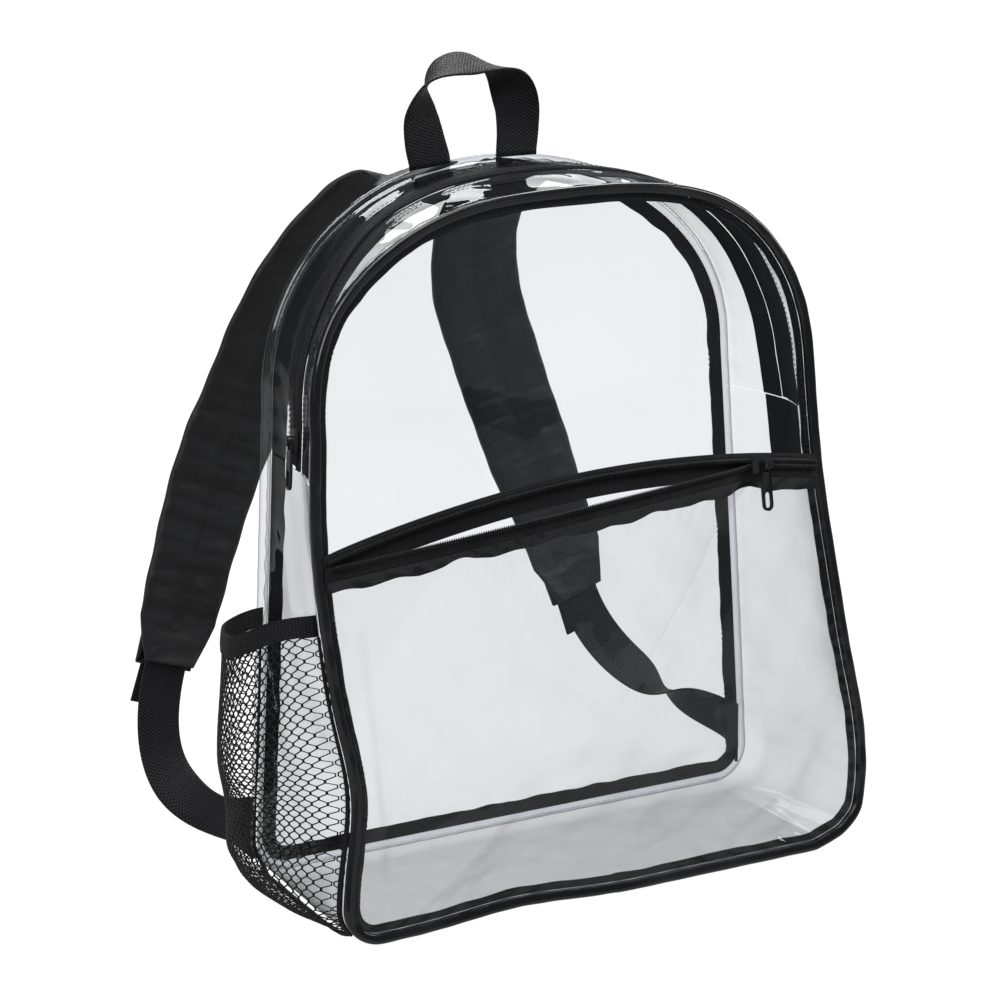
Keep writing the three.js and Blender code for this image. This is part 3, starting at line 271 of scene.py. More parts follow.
def outline(shape, share):
    """A point of the outline as (across, height). Along the foot it moves evenly, round the corner on a
    quarter circle, and up the side evenly. On the arch, with the angle t, across is the shoulder times
    the cosine of t to the power of 2 over the fullness, and height rises with the sine likewise."""
    base, shoulder, rise, height, corner, fullness = shape
    loop = np.asarray(share, float) % 1.0
    side = np.where(loop <= 0.5, 1.0, -1.0)
    half = np.where(loop <= 0.5, 2 * loop, 2 - 2 * loop)
    bend = np.pi / 2 * np.clip((half - FOOT_END) / (CORNER_END - FOOT_END), 0, 1)
    arch = np.pi / 2 * np.clip((half - SIDE_END) / (1 - SIDE_END), 0, 1)
    up = (half - CORNER_END) / (SIDE_END - CORNER_END)
    places = [half <= FOOT_END, half <= CORNER_END, half <= SIDE_END]
    across = np.select(
        places,
        [
            (base - corner) * half / FOOT_END,
            base - corner + corner * np.sin(bend),
            base + (shoulder - base) * up,
        ],
        shoulder * np.abs(np.cos(arch)) ** (2 / fullness),
    )
    tall = np.select(
        places,
        [0 * half, corner - corner * np.cos(bend), corner + (rise - corner) * up],
        rise + (height - rise) * np.sin(arch) ** (2 / fullness),
    )
    return side * across, tall


def side_half(height):
    """The share of half the outline at a height over the floor, on the straight side."""
    return CORNER_END + (SIDE_END - CORNER_END) * (height - SEAM_FOOT - CORNER) / (SIDE_RISE - CORNER)


def on_front(across, height, lift=0.0):
    """A point of the front panel's leaning plane: back by the height times the sine of the lean, up by
    the height times its cosine, and out of the plane by the lift."""
    back, up = height * math.sin(LEAN), SEAM_FOOT + height * math.cos(LEAN)
    place = np.stack(np.broadcast_arrays(across, back, up), axis=-1)
    return place + np.asarray(lift)[..., None] * FRONT_FACE


print("the front's crown is", round(float(outline(FRONT, 0.5)[1])), "mm over its foot")


# %% The two seams
# Where the front seam is dented: share of the loop, how far out as a share of the base width, spread.
DENTS = np.array(
    [
        [0.07, 0.01, 0.04],
        [0.127, -0.022, 0.018],
        [0.175, 0.012, 0.03],
        [0.29, -0.012, 0.05],
        [0.43, 0.01, 0.04],
        [0.58, -0.01, 0.04],
        [0.71, 0.016, 0.045],
        [0.815, -0.028, 0.032],
        [0.95, -0.012, 0.035],
    ]
)


def front_line(share):
    """The front seam: the outline, moved out by the dents, each a bell over the distance round the
    loop. It never goes below the foot."""
    share = np.asarray(share, float)
    a, b = outline(FRONT, share)
    a0, b0 = outline(FRONT, share - 0.002)
    a1, b1 = outline(FRONT, share + 0.002)
    length = np.hypot(a1 - a0, b1 - b0)
    apart = np.abs(share[..., None] - DENTS[:, 0]) % 1
    apart = np.minimum(apart, 1 - apart)
    dent = BASE_WIDTH * (DENTS[:, 1] * np.exp(-((apart / DENTS[:, 2]) ** 2))).sum(axis=-1)
    return on_front(a + dent * (b1 - b0) / length, np.maximum(0, b - dent * (a1 - a0) / length))


def back_line(share):
    """The back seam: the outline, bowed backwards by 27 mm times its share of the height, and less
    towards the sides by the square of the distance from the middle."""
    a, b = outline(BACK, share)
    bow = 27.0 * (b / BACK_HEIGHT) * np.maximum(0, 1 - (a / BACK[0]) ** 2)
    return np.stack([a, BASE_DEPTH + bow, SEAM_FOOT + b], axis=-1)


def unit(v):
    """The vectors over their own lengths."""
    return v / np.linalg.norm(v, axis=-1, keepdims=True)


def seam(line, facing, share):
    """A seam's point with its directions: along it, out of the outline, which is along crossed with
    facing and points away from the panel's middle, and out of the panel's face."""
    share = np.asarray(share, float)
    point = line(share)
    along = unit(line(share + 0.004) - line(share - 0.004))
    out = unit(np.cross(along, facing))
    centre = np.stack([0 * share, point[..., 1], 0 * share + PANEL_HEIGHT / 2], axis=-1)
    out = np.where((out * (point - centre)).sum(-1, keepdims=True) < 0, -out, out)
    face = unit(np.cross(out, along))
    face = np.where((face * facing).sum(-1, keepdims=True) < 0, -face, face)
    return point, out, face, along


def front_seam(share):
    """The front seam's point and its three directions."""
    return seam(front_line, FRONT_FACE, share)


def back_seam(share):
    """The back seam's point and its three directions."""
    return seam(back_line, BACK_FACE, share)


def even_shares(line, count, start=0.0, end=1.0):
    """count shares spaced so that the seam's points lie evenly: the running length of a fine line is
    read backwards at even lengths."""
    fine = np.linspace(start, end, 4001)
    run = lengths_along(line(fine))
    return np.interp(np.linspace(0, run[-1], count), run, fine)


LOOP_LENGTH = lengths_along(front_line(np.linspace(0, 1, 4001)))[-1]
print("front seam", round(LOOP_LENGTH), "mm round")


# %% [markdown]
# ## The gusset
# The gusset is the strip that joins the two outlines and gives the bag its depth. It stands out between
# its seams, more on the right, and is drawn in on the left above the net pocket.

# %% The gusset's surface
# Height as a share of half the outline, then how far the left and right stand out, by base depth.
STAND_OUT = np.array(
    [
        [0.3, 0.05, 0.07],
        [0.45, 0.04, 0.13],
        [0.6, -0.04, 0.12],
        [0.75, -0.05, 0.05],
        [0.9, 0.02, 0.03],
        [1, 0.03, 0.03],
    ]
)


def smooth(x, start, end):
    """0 before start, 1 after end, and t squared times 3 minus 2 t between them."""
    t = np.clip((x - start) / (end - start), 0, 1)
    return t * t * (3 - 2 * t)


def eased(table, column, along):
    """A table's value, going from one row to the next by smooth."""
    row = np.clip(np.searchsorted(table[:, 0], along, side="left"), 1, len(table) - 1)
    a, b = table[row - 1], table[row]
    return a[..., column] + (b[..., column] - a[..., column]) * smooth(along, a[..., 0], b[..., 0])


def stand_out(share):
    """How far the gusset's middle stands out: the table's share of the base depth, and below the
    table's first row an easing from the level of the floor up to it."""
    loop = np.asarray(share, float) % 1.0
    half = np.where(loop <= 0.5, 2 * loop, 2 - 2 * loop)
    at = np.maximum(half, STAND_OUT[0, 0])
    body = BASE_DEPTH * np.where(loop <= 0.5, eased(STAND_OUT, 2, at), eased(STAND_OUT, 1, at))
    low, first = SEAM_FOOT - SHEET / 2, STAND_OUT[0, 0]
    return np.where(half < first, low + (body - low) * smooth(half, FOOT_END, first), body)


def gusset(share, across, lift=0.0):
    """A point of the gusset, from 0 at the front seam to 1 at the back seam: the straight line between
    the seams, moved out by the stand-out times a profile. The profile is half a sine wave over the
    width, and over the foot it is flat but for its first and last eighth."""
    share, across, lift = np.broadcast_arrays(share, across, lift)
    front, front_out, front_face, _ = front_seam(share)
    back, back_out, back_face, _ = back_seam(share)
    start, end = front - SEAM_EDGE * front_face, back - SEAM_EDGE * back_face
    out = unit(front_out + back_out)
    edge = np.minimum(across, 1 - across)
    rounded = np.sin(np.pi / 2 * np.clip(edge / 0.12, 0, 1))
    loop = share % 1.0
    half = np.where(loop <= 0.5, 2 * loop, 2 - 2 * loop)
    profile = rounded + (np.sin(np.pi * np.clip(across, 0, 1)) - rounded) * smooth(half, FOOT_END, 0.4)
    at = start + (end - start) * across[..., None]
    swell = np.where(half <= FOOT_END, (at[..., 2] - SHEET / 2) * rounded, stand_out(share) * profile)
    return at + (swell + lift)[..., None] * out


def gusset_width(share):
    """The distance between the gusset's two edges."""
    return np.linalg.norm(gusset(share, 1.0) - gusset(share, 0.0), axis=-1)


print("gusset width at the foot and the top:", gusset_width(np.array([0.0, 0.5])).round())


# %% [markdown]
# ## Shader tools
# Materials are node trees. A small helper adds a node, sets its values and links its inputs in one
# call, so that each finish can be read as a short list.

# %% Node helpers
def add_node(tree, kind, settings=None, **inputs):
    """Adds a node. settings are its own options. An input that is a socket is linked, and any other
    value is set on the input. Inputs are named with _ for a space, or i0, i1 by their number."""
    made = tree.nodes.new(kind)
    for key, value in (settings or {}).items():
        setattr(made, key, value)
    for key, value in inputs.items():
        numbered = key[0] == "i" and key[1:].isdigit()
        target = made.inputs[int(key[1:])] if numbered else made.inputs[key.replace("_", " ")]
        if isinstance(value, bpy.types.NodeSocket):
            tree.links.new(value, target)
        else:
            target.default_value = value
    return made


def math_node(tree, operation, a, b=0.0, c=0.0, clamp=False):
    """The output of one sum, such as MULTIPLY_ADD, which is a times b plus c."""
    settings = {"operation": operation, "use_clamp": clamp}
    return add_node(tree, "ShaderNodeMath", settings, i0=a, i1=b, i2=c).outputs[0]


def mixed(tree, share, a, b):
    """The colour between a and b, by share."""
    made = add_node(tree, "ShaderNodeMix", {"data_type": "RGBA"}, i0=share, i6=a, i7=b)
    return made.outputs[2]


def new_group(name, ins, outs):
    """A node group with named inputs, each with its start value, and outputs, all plain numbers but
    for those named Vector."""
    group = bpy.data.node_groups.new(name, "ShaderNodeTree")
    for key, value in ins.items():
        kind = "NodeSocketVector" if key == "Vector" else "NodeSocketFloat"
        made = group.interface.new_socket(name=key, in_out="INPUT", socket_type=kind)
        if value is not None:
            made.default_value = value
    for key in outs:
        group.interface.new_socket(name=key, in_out="OUTPUT", socket_type="NodeSocketFloat")
    return group, group.nodes.new("NodeGroupInput").outputs, group.nodes.new("NodeGroupOutput").inputs


def use_group(tree, group, **inputs):
    """Places a shared group in a material with its own values, and gives back its outputs."""
    return add_node(tree, "ShaderNodeGroup", {"node_tree": group}, **inputs).outputs


def new_material(name, viewport):
    """An empty material with its output node, and the colour that it has in a plain viewport."""
    material = bpy.data.materials.new(name)
    material.use_nodes = True
    material.diffuse_color = viewport
    material.node_tree.nodes.clear()
    return material, material.node_tree, material.node_tree.nodes.new("ShaderNodeOutputMaterial")


print("finishes before any is made:", len(bpy.data.materials))


# %% [markdown]
# ## Effects that several finishes share
# Cloth, plastic and painted metal all need some of the same marks: crossed threads, a fine grain, and
# light wear with a little dust. Each is a group that is built once and set differently in each finish.

# %% Crossed threads
def build_weave():
    """u and v count the threads across and along, a is the sine of half a turn times u, and b the same
    of v. Height is |b| to the power of 0.6, times a half plus half of a, with a's sign changed in every
    other row. So each row is a line of short dashes. Shade is the height to the power of 1.2: painted
    light on the dashes and painted shade in the gaps between rows."""
    ins = {"Vector": None, "Across": 800.0, "Along": 800.0, "Slant": 0.0}
    group, i, o = new_group("crossed_threads", ins, ("Height", "Shade"))
    place = add_node(group, "ShaderNodeSeparateXYZ", Vector=i["Vector"]).outputs
    lean = math_node(group, "MULTIPLY", place[1], i["Slant"])
    u = math_node(group, "MULTIPLY", math_node(group, "ADD", place[0], lean), i["Across"])
    v = math_node(group, "MULTIPLY", place[1], i["Along"])
    half_turn = math.pi
    a = math_node(group, "SINE", math_node(group, "MULTIPLY", u, half_turn))
    b = math_node(group, "SINE", math_node(group, "MULTIPLY", v, half_turn))
    row = math_node(group, "POWER", math_node(group, "ABSOLUTE", b), 0.6)
    dash = math_node(group, "MULTIPLY", a, math_node(group, "SIGN", b))
    dash = math_node(group, "MULTIPLY_ADD", dash, 0.5, 0.5)
    height = math_node(group, "MULTIPLY", row, dash)
    # Shade is painted light on the threads' tops and painted shade in the gaps between rows.
    shade = math_node(group, "POWER", height, 1.2)
    group.links.new(height, o["Height"])
    group.links.new(shade, o["Shade"])
    return group


WEAVE = build_weave()
print("weave inputs:", [item.name for item in WEAVE.interface.items_tree if item.in_out == "INPUT"])


# %% Fine grain
def build_grain():
    """Height is a noise whose cells are Scale to the metre, with a second noise at five times that
    scale. Patch is a slow noise that stays near 0 and rises to 1 in a few places."""
    ins = {"Vector": None, "Scale": 900.0, "Patches": 12.0}
    group, i, o = new_group("fine_grain", ins, ("Height", "Patch"))
    coarse = add_node(group, "ShaderNodeTexNoise", Vector=i["Vector"], Scale=i["Scale"], Detail=2.0)
    finer = math_node(group, "MULTIPLY", i["Scale"], 5.0)
    fine = add_node(group, "ShaderNodeTexNoise", Vector=i["Vector"], Scale=finer, Detail=1.0)
    both = math_node(group, "MULTIPLY_ADD", fine.outputs[0], 0.4, coarse.outputs[0])
    slow = add_node(group, "ShaderNodeTexNoise", Vector=i["Vector"], Scale=i["Patches"], Detail=3.0)
    raised = math_node(group, "SUBTRACT", slow.outputs[0], 0.45)
    patch = math_node(group, "MULTIPLY", raised, 3.5, clamp=True)
    group.links.new(both, o["Height"])
    group.links.new(patch, o["Patch"])
    return group


GRAIN = build_grain()
print("grain nodes:", len(GRAIN.nodes))


# %% Wear and dust
def build_wear():
    """Worn is 1 on sharp convex edges, by how far the surface's pointiness passes a middle value, broken
    up by a noise. Dust is a sparse speckle of small cells."""
    ins = {"Vector": None, "Edge": 8.0, "Speckle": 1500.0}
    group, i, o = new_group("wear_and_dust", ins, ("Worn", "Dust"))
    sharp = add_node(group, "ShaderNodeNewGeometry").outputs["Pointiness"]
    over = math_node(group, "MULTIPLY", math_node(group, "SUBTRACT", sharp, 0.53), i["Edge"], clamp=True)
    broken = add_node(group, "ShaderNodeTexNoise", Vector=i["Vector"], Scale=160.0, Detail=4.0).outputs[0]
    worn = math_node(group, "MULTIPLY", over, broken, clamp=True)
    cells = add_node(group, "ShaderNodeTexVoronoi", Vector=i["Vector"], Scale=i["Speckle"])
    near = math_node(group, "LESS_THAN", cells.outputs["Distance"], 0.12)
    rare = math_node(group, "GREATER_THAN", broken, 0.62)
    dust = math_node(group, "MULTIPLY", near, rare)
    group.links.new(worn, o["Worn"])
    group.links.new(dust, o["Dust"])
    return group


WEAR = build_wear()
print("shared effects:", [g.name for g in bpy.data.node_groups])


# %% [markdown]
# ## Clear vinyl
# Light goes straight through a thin vinyl sheet, so refraction would only slow the picture down. What
# the eye sees is a reflection that grows towards the edges, and a faint grey where the sheet is seen
# at a slant. So a see-through shader is mixed with a mirror-like one, by how the surface faces the eye.

# %% The clear sheet
def build_vinyl(name, tint, least, haze):
    """The mirror's share is least plus the rest times facing to the fifth power, which is the usual
    formula for the reflection of plastic, plus a faint haze in patches. The see-through colour darkens
    with facing to the power of 1.5, as light has further to go through the sheet."""
    material, tree, out = new_material(name, (0.9, 0.92, 0.95, 0.3))
    where = add_node(tree, "ShaderNodeTexCoord").outputs["Object"]
    grain = use_group(tree, GRAIN, Vector=where, Scale=60.0, Patches=14.0)
    soft = add_node(tree, "ShaderNodeTexNoise", Vector=where, Scale=70.0, Detail=1.0).outputs[0]
    bump = add_node(tree, "ShaderNodeBump", Strength=0.3, Distance=0.0006, Height=soft).outputs[0]
    facing = add_node(tree, "ShaderNodeLayerWeight", Blend=0.5, Normal=bump).outputs["Facing"]
    steep = math_node(tree, "POWER", facing, 5.0)
    share = math_node(tree, "MULTIPLY_ADD", steep, 1 - least, least)
    share = math_node(tree, "MULTIPLY_ADD", grain["Patch"], haze, share, clamp=True)
    slant = math_node(tree, "POWER", facing, 1.5)
    through = mixed(tree, slant, tint, tuple(0.45 * x for x in tint[:3]) + (1,))
    clear = add_node(tree, "ShaderNodeBsdfTransparent", Color=through).outputs[0]
    shine = add_node(
        tree,
        "ShaderNodeBsdfPrincipled",
        Base_Color=(0.93, 0.94, 0.96, 1),
        Metallic=1.0,
        Roughness=0.0,
        Normal=bump,
    ).outputs[0]
    surface = add_node(tree, "ShaderNodeMixShader", i0=share, i1=clear, i2=shine).outputs[0]
    tree.links.new(surface, out.inputs["Surface"])
    return material


CLEAR_VINYL = build_vinyl("clear_vinyl", (0.915, 0.92, 0.93, 1), 0.03, 0.014)
CLEAR_CORD = build_vinyl("clear_piping", (0.88, 0.89, 0.91, 1), 0.07, 0.06)
print("clear finishes:", CLEAR_VINYL.name, CLEAR_CORD.name)


# %% [markdown]
# ## Black finishes
# The trim is all black, but not one black. The piping is glossy vinyl, the tapes and webbing are woven
# nylon with a dry sheen, the coils are moulded plastic, and the sliders are painted metal.

# %% Glossy piping
def build_piping():
    """Black vinyl under a clear coat. A grain dents it finely, and dull patches are a little lighter."""
    material, tree, out = new_material("glossy_black_vinyl", (0.01, 0.01, 0.012, 1))
    where = add_node(tree, "ShaderNodeTexCoord").outputs["Object"]
    grain = use_group(tree, GRAIN, Vector=where, Scale=500.0, Patches=25.0)
    dents = {"Strength": 0.35, "Distance": 0.0003, "Height": grain["Height"]}
    bump = add_node(tree, "ShaderNodeBump", **dents).outputs[0]
    colour = mixed(tree, grain["Patch"], (0.006, 0.006, 0.007, 1), (0.016, 0.016, 0.018, 1))
    rough = math_node(tree, "MULTIPLY_ADD", grain["Patch"], 0.15, 0.2)
    shader = add_node(
        tree,
        "ShaderNodeBsdfPrincipled",
        Base_Color=colour,
        Roughness=rough,
        Normal=bump,
        Specular_IOR_Level=0.2,
        Coat_Weight=0.7,
        Coat_Roughness=0.08,
    ).outputs[0]
    tree.links.new(shader, out.inputs["Surface"])
    return material


GLOSSY_BLACK = build_piping()
print("piping nodes:", len(GLOSSY_BLACK.node_tree.nodes))


# %% Woven nylon
def build_woven(name, across, along, dark, light, rough, depth, slant=0.0, gloss=0.18):
    """Threads read the piece's own UV map, in metres, so that they follow it round each bend. The colour
    is lighter on the threads' tops, as painted light, and darker in the gaps, as painted shade.
    """
    material, tree, out = new_material(name, dark)
    coords = add_node(tree, "ShaderNodeTexCoord").outputs
    weave = use_group(tree, WEAVE, Vector=coords["UV"], Across=across, Along=along, Slant=slant)
    grain = use_group(tree, GRAIN, Vector=coords["Object"], Scale=1400.0, Patches=30.0)
    height = math_node(tree, "MULTIPLY_ADD", grain["Height"], 0.35, weave["Height"])
    bump = add_node(tree, "ShaderNodeBump", Strength=0.8, Distance=depth, Height=height).outputs[0]
    # Painted light on the threads' tops and painted shade in the gaps, with random tone from the grain's
    # patches.
    shade = math_node(tree, "MULTIPLY_ADD", grain["Patch"], 0.25, weave["Shade"], clamp=True)
    shader = add_node(
        tree,
        "ShaderNodeBsdfPrincipled",
        Base_Color=mixed(tree, shade, dark, light),
        Roughness=math_node(tree, "MULTIPLY_ADD", weave["Height"], -0.15, rough),
        Normal=bump,
        Specular_IOR_Level=gloss,
        Sheen_Weight=0.04,
        Sheen_Roughness=0.4,
    ).outputs[0]
    tree.links.new(shader, out.inputs["Surface"])
    return material


# Each woven finish runs from its dark colour in the gaps, as painted shade, to its lighter one on the
# threads' tops, as painted light.
BLACK, SOFT_BLACK = (0.004, 0.004, 0.005, 1), (0.02, 0.02, 0.022, 1)
WEBBING = build_woven("black_webbing", 640.0, 1050.0, BLACK, (0.03, 0.03, 0.033, 1), 0.5, 0.0004)
TAPE = build_woven("woven_tape", 1500.0, 1100.0, BLACK, SOFT_BLACK, 0.6, 0.0003)
BINDING = build_woven("seam_binding", 1300.0, 1300.0, BLACK, SOFT_BLACK, 0.55, 0.0003, slant=0.6)
NYLON, NYLON_LIGHT = (0.005, 0.005, 0.006, 1), (0.014, 0.014, 0.016, 1)
STRAP_CLOTH = build_woven("strap_nylon", 2600.0, 2600.0, NYLON, NYLON_LIGHT, 0.4, 0.00012, gloss=0.5)
ELASTIC = build_woven("ribbed_elastic", 1600.0, 520.0, BLACK, (0.024, 0.024, 0.026, 1), 0.6, 0.0007)
print("woven finishes:", [m.name for m in (WEBBING, TAPE, BINDING, STRAP_CLOTH, ELASTIC)])


# %% Plastic, thread and painted metal
def build_plain(name, dark, light, rough, metallic=0.0, scale=900.0, strength=0.2, worn=0.0):
    """A grained finish between two darks, by the grain's patches. Worn edges and dust are greyer."""
    material, tree, out = new_material(name, dark)
    where = add_node(tree, "ShaderNodeTexCoord").outputs["Object"]
    grain = use_group(tree, GRAIN, Vector=where, Scale=scale, Patches=60.0)
    wear = use_group(tree, WEAR, Vector=where, Edge=9.0, Speckle=2500.0)
    dents = {"Strength": strength, "Distance": 0.0002, "Height": grain["Height"]}
    bump = add_node(tree, "ShaderNodeBump", **dents).outputs[0]
    colour = mixed(tree, grain["Patch"], dark, light)
    marks = math_node(tree, "MULTIPLY", wear["Worn"], worn)
    marks = math_node(tree, "MULTIPLY_ADD", wear["Dust"], 0.08, marks, clamp=True)
    shader = add_node(
        tree,
        "ShaderNodeBsdfPrincipled",
        Base_Color=mixed(tree, marks, colour, (0.22, 0.22, 0.23, 1)),
        Roughness=math_node(tree, "MULTIPLY_ADD", grain["Patch"], 0.12, rough),
        Metallic=metallic,
        Specular_IOR_Level=0.3,
        Normal=bump,
    ).outputs[0]
    tree.links.new(shader, out.inputs["Surface"])
    return material


COIL = build_plain("zipper_coil", (0.007, 0.007, 0.008, 1), (0.016, 0.016, 0.018, 1), 0.28)
THREAD = build_plain("black_thread", (0.006, 0.006, 0.007, 1), (0.028, 0.028, 0.03, 1), 0.5, scale=2500.0)
PAINT, PAINT_LIGHT = (0.008, 0.008, 0.009, 1), (0.014, 0.014, 0.015, 1)
PAINTED_METAL = build_plain("painted_metal", PAINT, PAINT_LIGHT, 0.22, 0.4, 1500.0, 0.1, 0.25)
MOULDED, MOULDED_LIGHT = (0.01, 0.01, 0.011, 1), (0.018, 0.018, 0.02, 1)
HARD_PLASTIC = build_plain("moulded_plastic", MOULDED, MOULDED_LIGHT, 0.38, 0.0, 1300.0, 0.3, 0.12)
NET = build_plain("knotted_net", (0.007, 0.007, 0.008, 1), (0.024, 0.024, 0.026, 1), 0.45, 0.0, 1800.0, 0.4)
print("finishes:", len(bpy.data.materials))


# %% [markdown]
# ## The front and back panels
# Each panel is one flat-cut sheet, held all round by its seam. It is built as rings that shrink from
# the seam to one middle point, so the ripples can follow the seam near the edge. The real sheet is
# half a millimetre thick, which is too thin to see, so one surface stands for it.

# %% A sheet made of shrinking rings
def ring_sheet(name, levels, crown, node, facing):
    """A sheet through rings of points, outermost first, closed at the crown by triangles, with its
    outer side towards facing. Its UV map is a front view: across and up, in metres."""
    count, around = levels.shape[:2]
    points = np.concatenate([levels.reshape(-1, 3), crown[None]])
    squares = grid_faces(count, around, tube=True)
    last = (count - 1) * around + np.arange(around)
    beside = (count - 1) * around + (np.arange(around) + 1) % around
    fan = np.stack([last, beside, np.full(around, len(points) - 1)], axis=1)
    if np.cross(levels[0, around // 4] - crown, levels[0, 0] - crown) @ facing > 0:
        squares, fan = squares[:, ::-1], fan[:, ::-1]
    corners = np.concatenate([squares.ravel(), fan.ravel()])
    mesh = mesh_of(name, points, squares.tolist() + fan.tolist(), points[corners][:, [0, 2]] / 1000)
    return add_piece(name, mesh, CLEAR_VINYL, (node,))


def front_swell(across, height):
    """How far the front panel stands out: 7 mm times the sine of a quarter turn times the share of the
    way in, to the power of one and a half. The way in is 1 minus the distance from the middle, which
    is reckoned from the squares of the sideways and upward shares."""
    dx = across / (FRONT[1] - SEAM_EDGE)
    dz = (height - PANEL_HEIGHT / 2) / (PANEL_HEIGHT / 2 - SEAM_EDGE)
    inward = np.clip(1 - np.hypot(dx**2, dz**2), 0, 1)
    return 7.0 * np.sin(np.pi / 2 * inward) ** 1.5


def height_on_front(points):
    """A point's height along the leaning front panel."""
    return (points[..., 2] - SEAM_FOOT) / math.cos(LEAN)


print("the front panel swells", round(float(front_swell(0.0, PANEL_HEIGHT / 2)), 1), "mm at its middle")


# %% Front panel
RINGS = 70
round_shares = even_shares(front_line, 361)[:-1]
point, out, face, _ = front_seam(round_shares)
edge = point - (SEAM_EDGE - 1.0) * out
inward = (np.linspace(0, 1, RINGS, endpoint=False) ** 1.15)[:, None]
middle = on_front(0.0, PANEL_HEIGHT / 2)
levels = edge[None] * (1 - inward[..., None]) + middle * inward[..., None]
tall = height_on_front(levels)
swell = np.where(inward > 0, front_swell(levels[..., 0], tall), 0)
run = round_shares[None] * LOOP_LENGTH
away = np.linalg.norm(levels - edge[None], axis=-1)
ripple = 0.45 * waves(levels[..., 0], tall, 11, 120, sharp=0.3) * smooth(away, 4, 40)
ripple += 0.2 * puckers(run, away, 12, 19, 11) * smooth(away, 0, 5)
levels = levels + (swell + ripple)[..., None] * FRONT_FACE
crown = middle + (front_swell(0.0, PANEL_HEIGHT / 2) + ripple[-1].mean()) * FRONT_FACE
front_panel = ring_sheet("front_panel_sheet", levels, crown, "front_panel", FRONT_FACE)
print("front panel points:", len(front_panel.data.vertices))


# %% Back panel
round_shares = even_shares(back_line, 321)[:-1]
point, out, face, _ = back_seam(round_shares)
edge = point - (SEAM_EDGE - 1.0) * out
inward = (np.linspace(0, 1, 50, endpoint=False) ** 1.15)[:, None]
middle = np.array([0.0, BASE_DEPTH + 13.5, BACK_HEIGHT / 2])
levels = edge[None] * (1 - inward[..., None]) + middle * inward[..., None]
swell = 5.0 * np.sin(np.pi / 2 * inward) ** 1.5
away = np.linalg.norm(levels - edge[None], axis=-1)
ripple = 0.5 * waves(levels[..., 0], levels[..., 2], 21, 110, sharp=0.3) * smooth(away, 4, 40)
ripple += 0.3 * puckers(round_shares[None] * 1200, away, 22, 15, 14) * smooth(away, 0, 5)
levels = levels + (swell + ripple)[..., None] * BACK_FACE
crown = middle + (5.0 + ripple[-1].mean()) * BACK_FACE
back_panel = ring_sheet("back_panel_sheet", levels, crown, "back_panel", BACK_FACE)
print("back panel points:", len(back_panel.data.vertices))


# %% [markdown]
# ## Small shapes, many times
# Stitches and zipper teeth are the same little lozenge again and again. One lozenge is worked out once,
# and numpy sets all its copies at their places in one step.

# %% Copies of a lozenge
def lozenge(length, width, height, rings=3, sides=6):
    """A rounded lozenge of the given size: rings of points along x whose radius is the cosine of the
    ring's angle, so that it narrows to both ends, with each end closed by a face."""
    angle = np.linspace(-0.85, 0.85, rings) * np.pi / 2
    turn = np.linspace(0, 2 * np.pi, sides, endpoint=False)
    x = np.repeat(np.sin(angle)[:, None] / math.sin(0.85 * np.pi / 2) * length / 2, sides, axis=1)
    y = np.cos(angle)[:, None] * np.cos(turn)[None] * width / 2
    z = np.cos(angle)[:, None] * np.sin(turn)[None] * height / 2
    points = np.stack([x, y, z], axis=-1).reshape(-1, 3)
    quads = grid_faces(rings, sides, tube=True).tolist()
    caps = [list(range(sides))[::-1], list(range((rings - 1) * sides, rings * sides))]
    return points, turned_out(points, quads + caps)


def strewn(name, shape, places, x, y, z, material, replaces=()):
    """Copies of a shape: each copy's point is its place plus the shape's x, y and z along three
    directions, worked out for all copies at once."""
    points, faces = shape
    spread = (
        places[:, None]
        + points[None, :, :1] * x[:, None]
        + points[None, :, 1:2] * y[:, None]
        + points[None, :, 2:] * z[:, None]
    )
    right_handed = (np.cross(x[0], y[0]) * z[0]).sum() > 0
    start = (np.arange(len(places)) * len(points)).tolist()
    order = faces if right_handed else [face[::-1] for face in faces]
    every = [[corner + first for corner in face] for first in start for face in order]
    mesh = mesh_of(name, spread.reshape(-1, 3), every)
    return add_piece(name, mesh, material, replaces)


def frames_along(line, face):
    """Three directions at each point of a line: along it, across it, and out of the face, squared up
    by taking the cross product of the face and the way."""
    along = unit(np.gradient(line, axis=0))
    across = unit(np.cross(face, along))
    return along, across, unit(np.cross(along, across))


def even_line(line, pitch, *fields):
    """A line's points every pitch millimetres, with any fields that go with them."""
    run = lengths_along(line)
    at = np.arange(pitch / 2, run[-1], pitch)

    def read(values):
        """The values at the even places, column by column."""
        return np.stack([np.interp(at, run, values[:, k]) for k in range(values.shape[1])], axis=1)

    return (read(line), *[read(np.broadcast_to(field, line.shape)) for field in fields])


def stitched(name, line, face, pitch, length, thick):
    """A row of stitches on a line: one lozenge to each pitch, half sunk in the cloth."""
    places, faces = even_line(line, pitch, face)
    along, across, up = frames_along(places, faces)
    shape = lozenge(length, thick, thick * 0.8)
    return strewn(name, shape, places, along, across, up, THREAD)


print("a lozenge has", len(lozenge(2.5, 0.7, 0.56)[0]), "points")


# %% [markdown]
# ## Piping and seam tape
# The front seam is bound by a bead of glossy black vinyl round a cord. A groove down its face splits
# its shine into two fine lines. The back seam's bead is clear. Behind each, a woven tape covers the
# raw edges, and a row of stitches runs along it.

